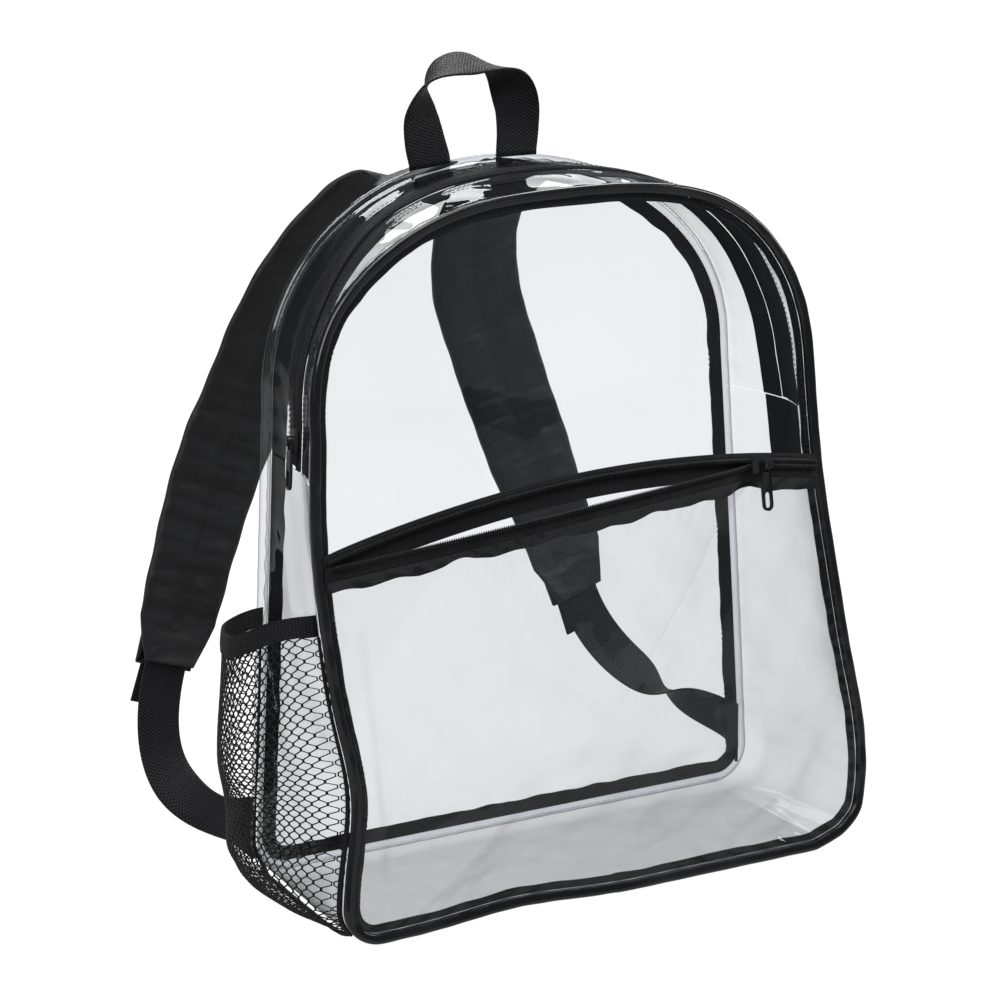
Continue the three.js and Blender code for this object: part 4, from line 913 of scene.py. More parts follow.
# %% The two beads
def bead(name, seam_of, line, material, node, groove, count=721, sides=18):
    """A bead round a seam: with the angle t from the outward direction, the radius is the piping's less
    the groove times a bell about the face's direction, and a slow ripple makes it hand-sewn."""
    shares = even_shares(line, count)[:-1]
    point, out, face, _ = seam_of(shares)
    turn = np.linspace(0, 2 * np.pi, sides, endpoint=False)
    off = np.angle(np.exp(1j * (turn - 0.55 * np.pi)))
    radius = PIPING - groove * np.exp(-((off / 0.3) ** 2))
    wobble = 1 + 0.025 * waves(shares * LOOP_LENGTH, 0 * shares, 31, 24, count=5)
    radius = radius[None] * wobble[:, None]
    sections = (
        point[:, None]
        + (radius * np.cos(turn))[..., None] * out[:, None]
        + (radius * np.sin(turn))[..., None] * face[:, None]
    )
    return carried(name, sections, material, (node,), loop=True)


bead("front_piping_bead", front_seam, front_line, GLOSSY_BLACK, "front_piping", 0.7)
bead("back_piping_bead", back_seam, back_line, CLEAR_CORD, "back_piping", 0.3, 601, 14)


# %% Tape behind each seam
def slab(name, upper, lower, material, replaces=(), loop=False):
    """A flat band with thickness, from the points of its upper and its lower face, row by row."""
    sections = np.concatenate([upper, lower[:, ::-1]], axis=1)
    return carried(name, sections, material, replaces, loop, sharp=40)


BINDING_THICKNESS = 1.0


def seam_tape(name, seam_of, line, node, seed, width=7.5):
    """A tape from the bead inwards, behind the sheet's edge: its inner edge wanders a little and its
    face lifts in shallow gathers, both as sums of waves along the seam."""
    shares = even_shares(line, 601)[:-1]
    point, out, face, _ = seam_of(shares)
    run = shares * LOOP_LENGTH
    across = np.linspace(0, 1, 7)
    wander = 0.35 * waves(run, 0 * run, seed, 26, count=5)
    inward = SEAM_EDGE - 0.4 + across[None] * (width + 0.4 + wander[:, None])
    gather = 0.18 * waves(run[:, None], 9 * across[None], seed + 1, 13, count=6) * across[None]
    top = -SHEET / 2 - 2.0 * CLEARANCE - 0.25 + gather
    flat = point[:, None] - inward[..., None] * out[:, None]
    upper = flat + top[..., None] * face[:, None]
    lower = flat + (top - BINDING_THICKNESS)[..., None] * face[:, None]
    slab(name, upper, lower, BINDING, (node,), loop=True)
    for count, inside in (("outer", 2.6), ("inner", width - 1.4)):
        seat = point - (SEAM_EDGE + inside) * out + 0.35 * face
        closed = np.concatenate([seat, seat[:1]])
        facing = np.concatenate([face, face[:1]])
        stitched(f"{name}_{count}_stitches", closed, facing, 3.1, 2.3, 0.55)


seam_tape("front_binding", front_seam, front_line, "front_seam_tape", 41, width=3.8)
seam_tape("back_binding", back_seam, back_line, "back_seam_tape", 45)


# %% [markdown]
# ## The gusset's sheets
# The lower gusset is one strip of vinyl from one end of the zipper, under the bag, to the other. Over
# the arch, two narrow strips run along the zipper. Vinyl that is bent round a curve can't shrink on its
# inner side, so it gathers, and these gathers carry most of the bag's bright streaks.

# %% Strips of vinyl
def strip_sheet(name, share, across, ripple, node):
    """A sheet on the gusset's surface, moved out by the ripple. Its UV map runs along and across."""
    points = gusset(share[:, None], across, ripple)
    rows, cols = points.shape[:2]
    faces = grid_faces(rows, cols)
    i, j = rows // 2, cols // 2
    centre = points[i, j]
    normal = np.cross(points[i + 1, j] - centre, points[i, j + 1] - centre)
    outward = centre - np.array([0.0, centre[1], PANEL_HEIGHT / 2])
    run = lengths_along(points[:, j]) / 1000
    width = lengths_along(points[i]) / 1000
    uv = grid_uv(run, width)
    if normal @ outward > 0:
        faces, uv = faces[:, ::-1], uv.reshape(-1, 4, 2)[:, ::-1].reshape(-1, 2)
    mesh = mesh_of(name, points.reshape(-1, 3), faces.tolist(), uv)
    piece = add_piece(name, mesh, CLEAR_VINYL, (node,))
    return piece


def gusset_ripple(share, across, seed, depth):
    """Gathers that run across the strip and die away from each seam, over broad soft waves, with the
    strip's edges rolled out over the beads by a bell with a spread of 3 mm."""
    width = gusset_width(share)[:, None]
    from_front, from_back = across * width, (1 - across) * width
    run = share[:, None] * LOOP_LENGTH
    broad = depth * waves(run, from_front, seed, 55, count=7, sharp=0.4)
    held = smooth(np.minimum(from_front, from_back), 0, 14)
    gathers = puckers(run + 0 * across, from_front, seed + 1, 13, 11)
    gathers = gathers + puckers(run + 0 * across, from_back, seed + 2, 15, 13)
    rolled = 1.6 * np.exp(-(((from_front - 2.0) / 3.0) ** 2))
    rolled = rolled + 0.8 * np.exp(-(((from_back - 2.0) / 3.0) ** 2))
    return broad * held + 0.7 * depth * gathers + rolled


ZIP_END, ZIP_ACROSS = 0.31, 0.52  # shares of the loop and of the gusset's width
COIL_WIDTH, TAPE_WIDTH, STRIP_OVERLAP = 6.0, 12.0, 7.0
share = even_shares(front_line, 300, -ZIP_END + 0.0003, ZIP_END - 0.0003)
across = np.broadcast_to(np.linspace(-0.01, 1.01, 56)[None], (300, 56))
ripple = gusset_ripple(share, across, 51, 0.7)
under = smooth(np.abs(share), 0.13, 0.15)[:, None]
ripple = ripple * (0.25 + 0.75 * under)
strip_sheet("lower_gusset_sheet", share, across, ripple, "lower_gusset")
print("lower gusset:", round(float(gusset_width(share).mean())), "mm wide on average")


def from_zip(share, distance):
    """A place across the gusset, distance millimetres from the zipper's middle."""
    return ZIP_ACROSS + distance / gusset_width(share)[:, None]


arch = even_shares(front_line, 300, ZIP_END + 0.0003, 1 - ZIP_END - 0.0003)
tape_edge = COIL_WIDTH / 2 + CLEARANCE + TAPE_WIDTH
strip_edge = tape_edge - STRIP_OVERLAP
t = np.linspace(0, 1, 26)[None]
front_across = -0.01 * (1 - t) + t * from_zip(arch, -strip_edge)
back_across = (1 - t) * from_zip(arch, strip_edge) + 1.01 * t
front_ripple = gusset_ripple(arch, front_across, 61, 1.0) * (1 - smooth(t, 0.8, 1))
back_ripple = gusset_ripple(arch, back_across, 65, 1.0) * smooth(t, 0, 0.2)
for side, across, ripple in (("front", front_across, front_ripple), ("back", back_across, back_ripple)):
    node = f"zip_gusset_{side}"
    strip_sheet(f"{node}_sheet", arch, across, ripple, node)


# %% [markdown]
# ## The main zipper
# A nylon coil zipper is a woven tape with a spiral of plastic sewn to its edge. Closed, the two spirals
# mesh in a herringbone. Each turn of the spiral is a lozenge across the tape, and the two rows are half
# a pitch apart.

# %% Tapes and teeth of the main zipper
def zip_tape(name, shares, start, end, replaces=()):
    """A tape under the strip, between two distances from the zipper's middle."""
    across = from_zip(shares, 0) + (np.linspace(start, end, 6)[None] / gusset_width(shares)[:, None])
    run = shares[:, None] * LOOP_LENGTH
    lift = -0.5 * (SHEET + 0.8) - 2 * CLEARANCE + 0.15 * waves(run, across * 100, 71, 22, count=5)
    upper = gusset(shares[:, None], across, lift + 0.4)
    lower = gusset(shares[:, None], across, lift - 0.4)
    slab(name, upper, lower, TAPE, replaces)


zip_tape("main_zip_front_tape", arch, -tape_edge, -COIL_WIDTH / 2 - 0.1, ("main_zip_tape_front",))
zip_tape("main_zip_back_tape", arch, COIL_WIDTH / 2 + 0.1, tape_edge, ("main_zip_tape_back",))
# On the right, the tapes' ends run on below the zipper, sewn under the lower gusset.
ends = even_shares(front_line, 40, ZIP_END - 0.036, ZIP_END - 0.0004)
zip_tape("main_zip_tape_ends", ends, -tape_edge + 2, tape_edge - 1)

PITCH = 1.3  # from one tooth to the next
tooth = lozenge(3.5, 0.98, 1.9, rings=4, sides=6)
half_coil = COIL_WIDTH / 2
core = from_zip(arch, 0) + np.linspace(-half_coil, half_coil, 5)[None] / gusset_width(arch)[:, None]
core_top, core_foot = gusset(arch[:, None], core, 0.15), gusset(arch[:, None], core, -0.95)
slab("main_zip_core", core_top, core_foot, TAPE, ("main_zip_coil",))
for name, side, shift in (("front", -1.25, 0.0), ("back", 1.25, 0.5)):
    line = gusset(arch, from_zip(arch, side)[:, 0], 0.05)
    toward = unit(gusset(arch, from_zip(arch, side + 1)[:, 0], 0.05) - line)
    places, toward = even_line(line, PITCH, toward)
    along = unit(np.gradient(places, axis=0))
    up = unit(np.cross(toward, along))
    leaning = unit(toward + 0.12 * along * np.sign(side))
    beside, seats = unit(np.cross(up, leaning)), places + shift * PITCH * along
    strewn(f"main_zip_teeth_{name}", tooth, seats, leaning, beside, up, COIL)


def gusset_line(shares, distance, lift):
    """A line along the gusset, at a distance from the zipper's middle and a lift off the surface."""
    return gusset(shares, from_zip(shares, distance)[:, 0], lift)


SEWN = {"front_outer": -12.5, "front_inner": -9.2, "back_inner": 9.2, "back_outer": 12.5}
for name, distance in SEWN.items():
    line = gusset_line(arch, distance, 0.45)
    facing = unit(gusset_line(arch, distance, 3.0) - line)
    stitched(f"main_zip_{name}_stitches", line, facing, 3.0, 2.1, 0.6)


# %% [markdown]
# ## The front pocket
# The pocket is a second sheet, sewn to the front panel's seams. Its zipper runs in a low arch and is
# open nearly to its slider, so its lower half hangs and gapes. A dark tape lines the mouth, and the
# sheet's own edge shows as a bright line over the lower tape.

# %% The pocket zipper's line
SLIDER_AT, SLIDER_LENGTH = 107.0, 13.0
GAPE_END = SLIDER_AT - SLIDER_LENGTH / 2
POCKET_REACH = BASE_WIDTH / 2 + 25.0

ZIP_CREST, ZIP_SAG, CREST_AT = 223.0, 27.0, 25.0


def zip_height(across):
    """The arch of the zipper: 223 mm less 27 times the square of the distance from its crest, as a
    share of the pocket's reach."""
    return ZIP_CREST - ZIP_SAG * ((across - CREST_AT) / POCKET_REACH) ** 2


def seam_crossing(start, end):
    """The share of the loop at which the seam's height over the panel passes the zipper's."""
    fine = np.linspace(start, end, 2001)
    point = front_line(fine)
    over = height_on_front(point) - zip_height(point[:, 0])
    order = np.argsort(over)
    return float(np.interp(0.0, over[order], fine[order]))


RIGHT_END, LEFT_END = seam_crossing(0.14, 0.33), seam_crossing(0.67, 0.86)


def seam_x(share):
    """How far across the pocket's sheet reaches at a share of the front seam."""
    point, out, _, _ = front_seam(np.array([share]))
    return float((point - (SEAM_EDGE + CLEARANCE) * out)[0, 0])


POCKET_LEFT, POCKET_RIGHT = seam_x(LEFT_END), seam_x(RIGHT_END)


def gape(across):
    """How far the halves stand apart: 11 mm times the sine of half a turn over the open part, to the
    power of 0.8, and nothing from the slider on."""
    along = np.clip((across - POCKET_LEFT) / (GAPE_END - POCKET_LEFT), 0, 1)
    return np.where(across >= GAPE_END, 0.0, 11.0 * np.abs(np.sin(np.pi * along)) ** 0.8)


# How far off the panel each layer's middle lies, from the flap over the panel outwards.
ZIP_TAPE_THICKNESS = 0.8
HALF_TAPE = ZIP_TAPE_THICKNESS / 2
FLAP_LIFT = SHEET / 2 + 2 * CLEARANCE + HALF_TAPE
TAPE_LIFT = FLAP_LIFT + ZIP_TAPE_THICKNESS + CLEARANCE
SHEET_LIFT = TAPE_LIFT + HALF_TAPE + CLEARANCE + SHEET / 2
COIL_LIFT = TAPE_LIFT + HALF_TAPE + CLEARANCE + 1.1


def beside_zip(across, drop, lift, hangs):
    """A point below the zipper's line by drop, off the panel by lift. Where it hangs, it also drops by
    the gape and stands forward by nine tenths of it."""
    across, drop, lift = np.broadcast_arrays(across, drop, lift)
    open_by = gape(across) if hangs else 0 * across
    seat = front_swell(across, zip_height(across) - open_by)
    return on_front(across, zip_height(across) - open_by - drop, lift + 0.9 * open_by + seat)


print("pocket from", round(POCKET_LEFT), "to", round(POCKET_RIGHT), "mm across")


# %% Tapes of the pocket zipper
stations = np.linspace(POCKET_LEFT - 1.5, POCKET_RIGHT + 1.5, 220)


def pocket_band(name, drops, lifts, hangs, node, ruffle=0.0, frayed=0.0, seed=81):
    """A tape along the zipper through the given drops and lifts. Its foot wanders by frayed and its
    face ripples by ruffle, more towards the foot."""
    share = np.linspace(0, 1, len(drops))[None]
    wander = frayed * waves(stations, 0 * stations, seed, 30, count=6, sharp=0.3)[:, None] * share**2
    wave = ruffle * waves(stations[:, None], share * 10, seed + 1, 20, count=6, sharp=0.4) * share
    drop, lift = np.array(drops)[None] + wander, np.array(lifts)[None] + wave
    upper = beside_zip(stations[:, None], drop, lift + HALF_TAPE, hangs)
    lower = beside_zip(stations[:, None], drop, lift - HALF_TAPE, hangs)
    return slab(name, upper, lower, TAPE, (node,))


pocket_band(
    "pocket_upper_tape",
    [-5.6, -3.5, -0.4, 1.5, 4.0, 6.5, 9.0],
    [TAPE_LIFT - 0.3, TAPE_LIFT, TAPE_LIFT, FLAP_LIFT, FLAP_LIFT, FLAP_LIFT, FLAP_LIFT],
    False,
    "pocket_zip_tape_upper",
)
pocket_band(
    "pocket_lower_tape",
    [1.0, 3.0, 5.5, 8.0, 10.0, 12.0, 14.2],
    [TAPE_LIFT - 0.2] * 7,
    True,
    "pocket_zip_tape_lower",
    ruffle=0.6,
    frayed=1.5,
    seed=85,
)


# %% Teeth of the pocket zipper
def pocket_teeth(name, drop, hangs, node, shift):
    """One row of teeth, each a lozenge that stands across the zipper's line."""
    fine = np.linspace(POCKET_LEFT, POCKET_RIGHT, 900)
    line = beside_zip(fine, drop, COIL_LIFT - 0.1, hangs)
    down = unit(beside_zip(fine, drop + 1, COIL_LIFT - 0.1, hangs) - line)
    places, down = even_line(line, PITCH, down)
    along, _, up = frames_along(places, FRONT_FACE + 0 * places)
    side = unit(np.cross(up, along))
    shape, seats = lozenge(3.3, 0.98, 2.0, rings=4, sides=6), places + shift * along
    return strewn(name, shape, seats, side, along, up, COIL, (node,))


pocket_teeth("pocket_teeth_upper", -1.45, False, "pocket_zip_coil_upper", 0.0)
pocket_teeth("pocket_teeth_lower", 1.45, True, "pocket_zip_coil_lower", 0.65)
for name, drop, hangs in (("upper", -3.9, False), ("lower", 4.0, True), ("hem", 6.6, True)):
    line = beside_zip(np.linspace(POCKET_LEFT + 2, POCKET_RIGHT - 2, 400), drop, TAPE_LIFT + 0.5, hangs)
    stitched(f"pocket_{name}_stitches", line, FRONT_FACE + 0 * line, 1.9, 1.5, 0.65)


# %% The pocket's sheet
def pocket_ripple(x, z, away):
    """Broad waves over the sheet, one tall crease at the left and a few slack folds at the foot."""
    held = smooth(away, 2, 22)
    broad = 1.3 * waves(x, z, 91, 85, count=8, sharp=0.4)
    foot = 1.4 * waves(x, 2.2 * z, 92, 60, count=6, sharp=0.5) * (1 - smooth(z, 40, 110))
    total = (broad + foot) * held
    total += crease(x, z, (-141, 25), (-143, 160), 2.2, 4.0)
    total += crease(x, z, (-120, 12), (-60, 60), 1.6, 5.0)
    total += crease(x, z, (60, 14), (128, 52), 1.5, 5.0)
    return total


sheet_drop = COIL_WIDTH / 2 + TAPE_WIDTH - STRIP_OVERLAP
past = sheet_drop / LOOP_LENGTH
seam_shares = even_shares(front_line, 230, LEFT_END + past, 1 + RIGHT_END - past)
point, out, _, _ = front_seam(seam_shares)
seam_part = point - (SEAM_EDGE - 0.6) * out + SHEET_LIFT * FRONT_FACE
top_x = np.linspace(POCKET_RIGHT, POCKET_LEFT, 160)[1:-1]
top_part = beside_zip(top_x, sheet_drop, SHEET_LIFT, True)
edge = np.concatenate([seam_part, top_part])
middle = on_front(0.0, ZIP_CREST * 0.45, SHEET_LIFT)
inward = (np.linspace(0, 1, 60, endpoint=False) ** 1.1)[:, None]
levels = edge[None] * (1 - inward[..., None]) + middle * inward[..., None]
x, z = levels[..., 0], height_on_front(levels)
away = np.linalg.norm(levels - edge[None], axis=-1)
run = lengths_along(edge)[None]
gathers = 1.1 * puckers(run, away, 93, 16, 13) + 0.5 * puckers(run, away, 95, 9, 9)
ripple = pocket_ripple(x, z, away) + gathers * smooth(away, 0, 4)
swell = 15.0 * np.sin(np.pi / 2 * smooth(inward, 0.02, 1.25))
levels = levels + (swell + ripple)[..., None] * FRONT_FACE
crown = levels[-1].mean(axis=0)
pocket = ring_sheet("pocket_sheet", levels, crown, "pocket_panel", FRONT_FACE)
print("pocket sheet points:", len(pocket.data.vertices))


# %% [markdown]
# ## Sliders and pulls
# The sliders and their pulls are hard pieces whose solids are right. A copy of each solid is merged, and
# a narrow bevel rounds its edges, as die casting and paint do.

# %% Rounded copies of hard pieces
def rounded_copy(node, name, material, body, width):
    """A copy of a solid with its doubles merged and flat faces joined, and a bevel of the given width
    in metres, in three steps, on its sharp edges."""
    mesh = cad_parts[node].data.copy()
    mesh.name = name
    mesh.materials.clear()
    shape = bmesh.new()
    shape.from_mesh(mesh)
    bmesh.ops.remove_doubles(shape, verts=shape.verts, dist=1e-6)
    bmesh.ops.dissolve_limit(shape, angle_limit=math.radians(4), verts=shape.verts, edges=shape.edges)
    shape.to_mesh(mesh)
    shape.free()
    piece = add_piece(name, mesh, material, (node,), body)
    mesh.polygons.foreach_set("use_smooth", np.full(len(mesh.polygons), True))
    bevel = piece.modifiers.new("rounded_edges", "BEVEL")
    bevel.width, bevel.segments, bevel.limit_method = width, 3, "ANGLE"
    bevel.angle_limit = math.radians(35)
    bevel.harden_normals = True
    return piece


rounded_copy("pocket_zip_slider", "pocket_slider", PAINTED_METAL, "bag", 0.00045)
rounded_copy("pocket_zip_pull", "pocket_pull_tab", PAINTED_METAL, "pocket_pull", 0.0004)
rounded_copy("main_zip_slider", "main_slider", PAINTED_METAL, "bag", 0.00045)
rounded_copy("main_zip_pull", "main_pull_tab", PAINTED_METAL, "main_pull", 0.0004)


# %% [markdown]
# ## The net pocket
# The side pocket is a knitted net of black cord. Each cord runs up the pocket in a zigzag and touches
# its neighbours at every turn, which leaves rows of six-sided cells. A ribbed elastic binds the mouth.

# %% The net's surface
NET_EDGE, NET_REACH, NET_SWELL = 0.03, 0.004, 40.0
MOUTH = np.array([[0.0, 0.433], [0.5, 0.385], [1.0, 0.375]])
NET_FORM = np.array([[0.0, 0.0], [0.3, 0.75], [0.65, 1.0], [1.0, 0.85]])


def mouth_half(across):
    """The share of half the outline at the mouth's height, on the straight side."""
    return side_half(PANEL_HEIGHT * eased(MOUTH, 1, across))


def net(up, across, lift=0.0, above=0.0):
    """A point of the net: up from 0 at its foot to 1 at its mouth, off the gusset by 40 mm times the
    net's form over its height and the 0.55 power of half a sine wave over its width."""
    up, across, lift, above = np.broadcast_arrays(up, across, lift, above)
    start = FOOT_END + (CORNER_END - FOOT_END) * 0.5
    low = start + (CORNER_END - start) * np.clip(up / 0.2, 0, 1)
    half = low + (mouth_half(across) - CORNER_END) * np.clip((up - 0.2) / 0.8, 0, 1) + above
    bulge = np.sin(np.pi * np.clip((across - NET_EDGE) / (1 - 2 * NET_EDGE), 0, 1)) ** 0.55
    swell = NET_SWELL * eased(NET_FORM, 1, np.minimum(up, 1.0)) * bulge
    return gusset(1 - half / 2, across, SHEET / 2 + 3.5 * CLEARANCE + lift + swell)


print("net mouth:", round(float(np.linalg.norm(net(1.0, 0.03) - net(1.0, 0.97)))), "mm across")


# %% The net's cords
CORDS, TURNS, CORD_THICKNESS = 50, 28, 1.05


def net_cords(name):
    """Each cord's place across is its own number, plus or minus nearly half a cell. It keeps to one
    side for a quarter turn and crosses over in the next, and its neighbours do the opposite, so the
    openings have six sides. Four points make a cord's section."""
    steps = 4 * TURNS + 1
    up = np.linspace(0, 1, steps)[None]
    wave = np.where(np.arange(steps) // 2 % 2 == 0, 1.0, -1.0)
    number = np.arange(CORDS + 1)[:, None]
    sign = np.where(number % 2 == 0, 1.0, -1.0)
    offset = 0.43 * sign * wave[None]
    width = 1 - 2 * NET_REACH
    across = NET_REACH + width * np.clip((number + offset) / CORDS, 0, 1)
    slack = 0.35 * waves(across * 120, up * 160, 101, 40, count=6)
    line = net(up + 0 * across, across, 0.5 + slack)
    out = unit(net(up + 0 * across, across, 1.5 + slack) - line)
    along = unit(np.gradient(line, axis=1))
    side = unit(np.cross(along, out))
    turn = np.linspace(0, 2 * np.pi, 4, endpoint=False) + np.pi / 4
    ring = (
        line[:, :, None]
        + CORD_THICKNESS / 2 * np.cos(turn)[None, None, :, None] * side[:, :, None]
        + CORD_THICKNESS / 2 * 0.8 * np.sin(turn)[None, None, :, None] * out[:, :, None]
    )
    one = grid_faces(steps, 4, tube=True)
    caps = np.array([[3, 2, 1, 0], [4 * steps - 4, 4 * steps - 3, 4 * steps - 2, 4 * steps - 1]])
    faces = np.array(turned_out(ring[0].reshape(-1, 3), np.concatenate([one, caps]).tolist()))
    every = (faces[None] + (np.arange(CORDS + 1) * steps * 4)[:, None, None]).reshape(-1, 4)
    mesh = mesh_of(name, ring.reshape(-1, 3), every.tolist())
    return add_piece(name, mesh, NET, ("mesh_pocket",))


cords = net_cords("net_cords")
print("net faces:", len(cords.data.polygons))


# %% The elastic and the net's side bindings
def elastic_band(name):
    """A band over the mouth: its height is 11 mm, its two faces bulge by a low arch, and its lower edge
    is pulled in where the net gathers."""
    count = 160
    across = np.linspace(NET_EDGE, 1 - NET_EDGE, count)
    step = (SIDE_END - CORNER_END) / (SIDE_RISE - CORNER)
    t = np.linspace(0, 1, 9)[None]
    tug = 0.25 * waves(across * 120, 0 * across, 111, 9, count=5)[:, None]
    above = step * (0.1 + 11.2 * t + tug * (1 - t))
    arch_out = 0.35 * np.sin(np.pi * t) + 0 * tug
    face = net(1.0, across[:, None], 1.9 + arch_out, above)
    inner = net(1.0, across[:, None], 0.1 - 0.2 * arch_out, above)
    return slab(name, face, inner, ELASTIC, ("mesh_pocket_elastic",))


elastic_band("net_elastic")


NET_BINDING_WIDTH, NET_ROUND = 2.4, 125.0  # millimetres; the second is the net's own width


def net_binding(name, place):
    """A narrow tape up one side of the net, folded over its cut edge."""
    up = np.linspace(0, 1, 120)
    spread = NET_BINDING_WIDTH / NET_ROUND * np.sign(0.5 - place)
    across = place + np.linspace(0, 1, 5)[None] * spread
    upper = net(up[:, None], across, 1.5)
    lower = net(up[:, None], across, 0.3)
    return slab(name, upper, lower, BINDING)


net_binding("net_front_binding", NET_REACH)
net_binding("net_back_binding", 1 - NET_REACH)
across = np.linspace(NET_EDGE, 1 - NET_EDGE, 120)[:, None]
up = np.linspace(0.0, 0.035, 4)[None]
slab("net_foot_binding", net(up, across, 1.6), net(up, across, 0.2), BINDING)


# %% [markdown]
# ## Handle and webbing
# Webbing is a thick flat weave. It bends easily over its face and hardly at all over its edge, so the
# handle stands up in a loop that turns edge-on at its crown.

# %% Smooth lines through points
def smooth_line(points, places):
    """A centripetal Catmull-Rom curve: between two points it is a cubic whose end slopes come from the
    neighbours, weighed by the square root of the distances. places run from 0 to the last point."""
    points = np.asarray(points, float)
    full = np.concatenate([[2 * points[0] - points[1]], points, [2 * points[-1] - points[-2]]])
    k = np.clip(np.floor(places).astype(int), 0, len(points) - 2)
    w = (places - k)[:, None]
    p0, p1, p2, p3 = (full[k + n] for n in range(4))
    pairs = ((p0, p1), (p1, p2), (p2, p3))
    d0, d1, d2 = (np.sqrt(np.linalg.norm(b - a, axis=1))[:, None] for a, b in pairs)
    s1 = ((p1 - p0) / d0 - (p2 - p0) / (d0 + d1) + (p2 - p1) / d1) * d1
    s2 = ((p2 - p1) / d1 - (p3 - p1) / (d1 + d2) + (p3 - p2) / d2) * d1
    return p1 + s1 * w + (3 * (p2 - p1) - 2 * s1 - s2) * w**2 + (2 * (p1 - p2) + s1 + s2) * w**3


def back_top_share(across):
    """The share of the loop at which the back seam's arch passes a place across."""
    turn = np.arccos((np.abs(across) / BACK[1]) ** (BACK[5] / 2))
    half = SIDE_END + (1 - SIDE_END) * turn / (np.pi / 2)
    return np.where(across > 0, half / 2, 1 - half / 2)


def back_top(across):
    """The point of the back seam's arch at a place across."""
    return back_line(back_top_share(np.array([float(across)])))[0]


print("the back seam's crown is", round(float(back_top(0.001)[2])), "mm up")


# %% The grab handle
WEBBING_WIDTH, WEBBING_THICKNESS = 25.0, 1.8
HANDLE_SPREAD, HANDLE_PLACE, HANDLE_LEAN, HANDLE_RISE, HANDLE_END = 54.0, -5.0, -5.0, 52.0, 9.0
# From a foot to the crown: place over half the spread, height over the rise, and how far the webbing is
# turned about its own length, as a share of a quarter turn.
HANDLE_FORM = np.array(
    [[1, 0, 0], [1.08, 0.25, 0.05], [1.1, 0.52, 0.2], [0.92, 0.8, 0.65], [0.5, 0.96, 1.1], [0, 1, 1.25]]
)
foot = HANDLE_SPREAD / 2
whole = np.concatenate([HANDLE_FORM, (HANDLE_FORM * [-1, 1, 1])[-2::-1]])
share = np.clip((whole[:, :1] + 1) / 2, 0, 1)
seats = back_top(HANDLE_PLACE - foot) * (1 - share) + back_top(HANDLE_PLACE + foot) * share
stands = np.stack(
    [
        HANDLE_PLACE + whole[:, 0] * foot + HANDLE_LEAN * whole[:, 1],
        seats[:, 1],
        seats[:, 2] + PIPING + 3.5 * CLEARANCE + whole[:, 1] * HANDLE_RISE,
    ],
    axis=1,
)
at = np.linspace(0, len(whole) - 1, 161)
line = smooth_line(stands, at)
line[0], line[-1] = line[0] - [0, 0, 2.5], line[-1] - [0, 0, 2.5]
turn = np.pi / 2 * np.interp(at, np.arange(len(whole)), whole[:, 2])
turn = np.convolve(np.pad(turn, 6, mode="edge"), np.ones(13) / 13, mode="valid")
along = unit(np.gradient(line, axis=0))
flat = unit(np.cross(along, [0.0, 1.0, 0.0]))
wide = flat * np.cos(turn)[:, None] + np.array([0.0, 1.0, 0.0]) * np.sin(turn)[:, None]
face = unit(np.cross(along, wide))
section = rounded_section(WEBBING_WIDTH, WEBBING_THICKNESS, 28, 7)
sections = along_line(section, line, wide, face)
cup = 0.5 * (section[:, 0] / (WEBBING_WIDTH / 2)) ** 2
sections = sections + (cup[None] * np.sin(np.pi * at / at[-1])[:, None])[..., None] * face[:, None]
carried("handle_webbing", sections, WEBBING, ("grab_handle",))
for name, side in (("right", 1), ("left", -1)):
    feet = HANDLE_PLACE + side * (foot + np.array([-0.5, 0.5]) * WEBBING_WIDTH)
    ends = np.sort(back_top_share(feet))
    shares = np.linspace(ends[0], ends[1], 16)
    start = 1 - HANDLE_END / gusset_width(shares)[:, None]
    across = start + (1.0 - start) * np.linspace(0, 1, 7)[None]
    lift = -(SHEET + WEBBING_THICKNESS) / 2 - 2 * CLEARANCE
    upper = gusset(shares[:, None], across, lift + WEBBING_THICKNESS / 2)
    lower = gusset(shares[:, None], across, lift - WEBBING_THICKNESS / 2)
    slab(f"handle_{name}_end", upper, lower, WEBBING, (f"handle_end_{name}",))
print("handle:", round(float(lengths_along(line)[-1])), "mm of webbing over the top")


# %% [markdown]
# ## The shoulder straps
# Each strap is a flat foam pad in a tube of thin black nylon. It springs from the top of the back, falls
# behind the bag, and ends in a ladder-shaped adjuster. The nylon is looser than the foam, so it wrinkles
# across, most where the strap bends. A stitch line holds it down the middle.

# %% The straps' lines
# The straps' middles, from root to tip: across and back, as shares of the base's width and depth from
# the middle of the back's foot, and height over the back's height.
LEFT_STRAP = np.array(
    [
        [-0.13, 0.38, 0.965],
        [-0.2, 0.5, 0.9],
        [-0.29, 0.6, 0.785],
        [-0.35, 0.67, 0.66],
        [-0.42, 0.69, 0.52],
        [-0.497, 0.65, 0.33],
        [-0.523, 0.62, 0.26],
    ]
)
RIGHT_STRAP = np.array(
    [
        [0.09, 0.35, 0.955],
        [0.066, 0.54, 0.885],
        [0.08, 0.67, 0.775],
        [0.13, 0.7, 0.64],
        [0.19, 0.68, 0.49],
        [0.255, 0.64, 0.33],
        [0.278, 0.61, 0.265],
    ]
)
STRAP_THICKNESS, STRAP_TIP, TIP_WIDTH, TIP_FULLNESS = 7.0, 25.0, 30.0, 0.5
ROOT_WIDTH, FULL_WIDTH, LOW_WIDTH = 50.0, 54.0, 47.0


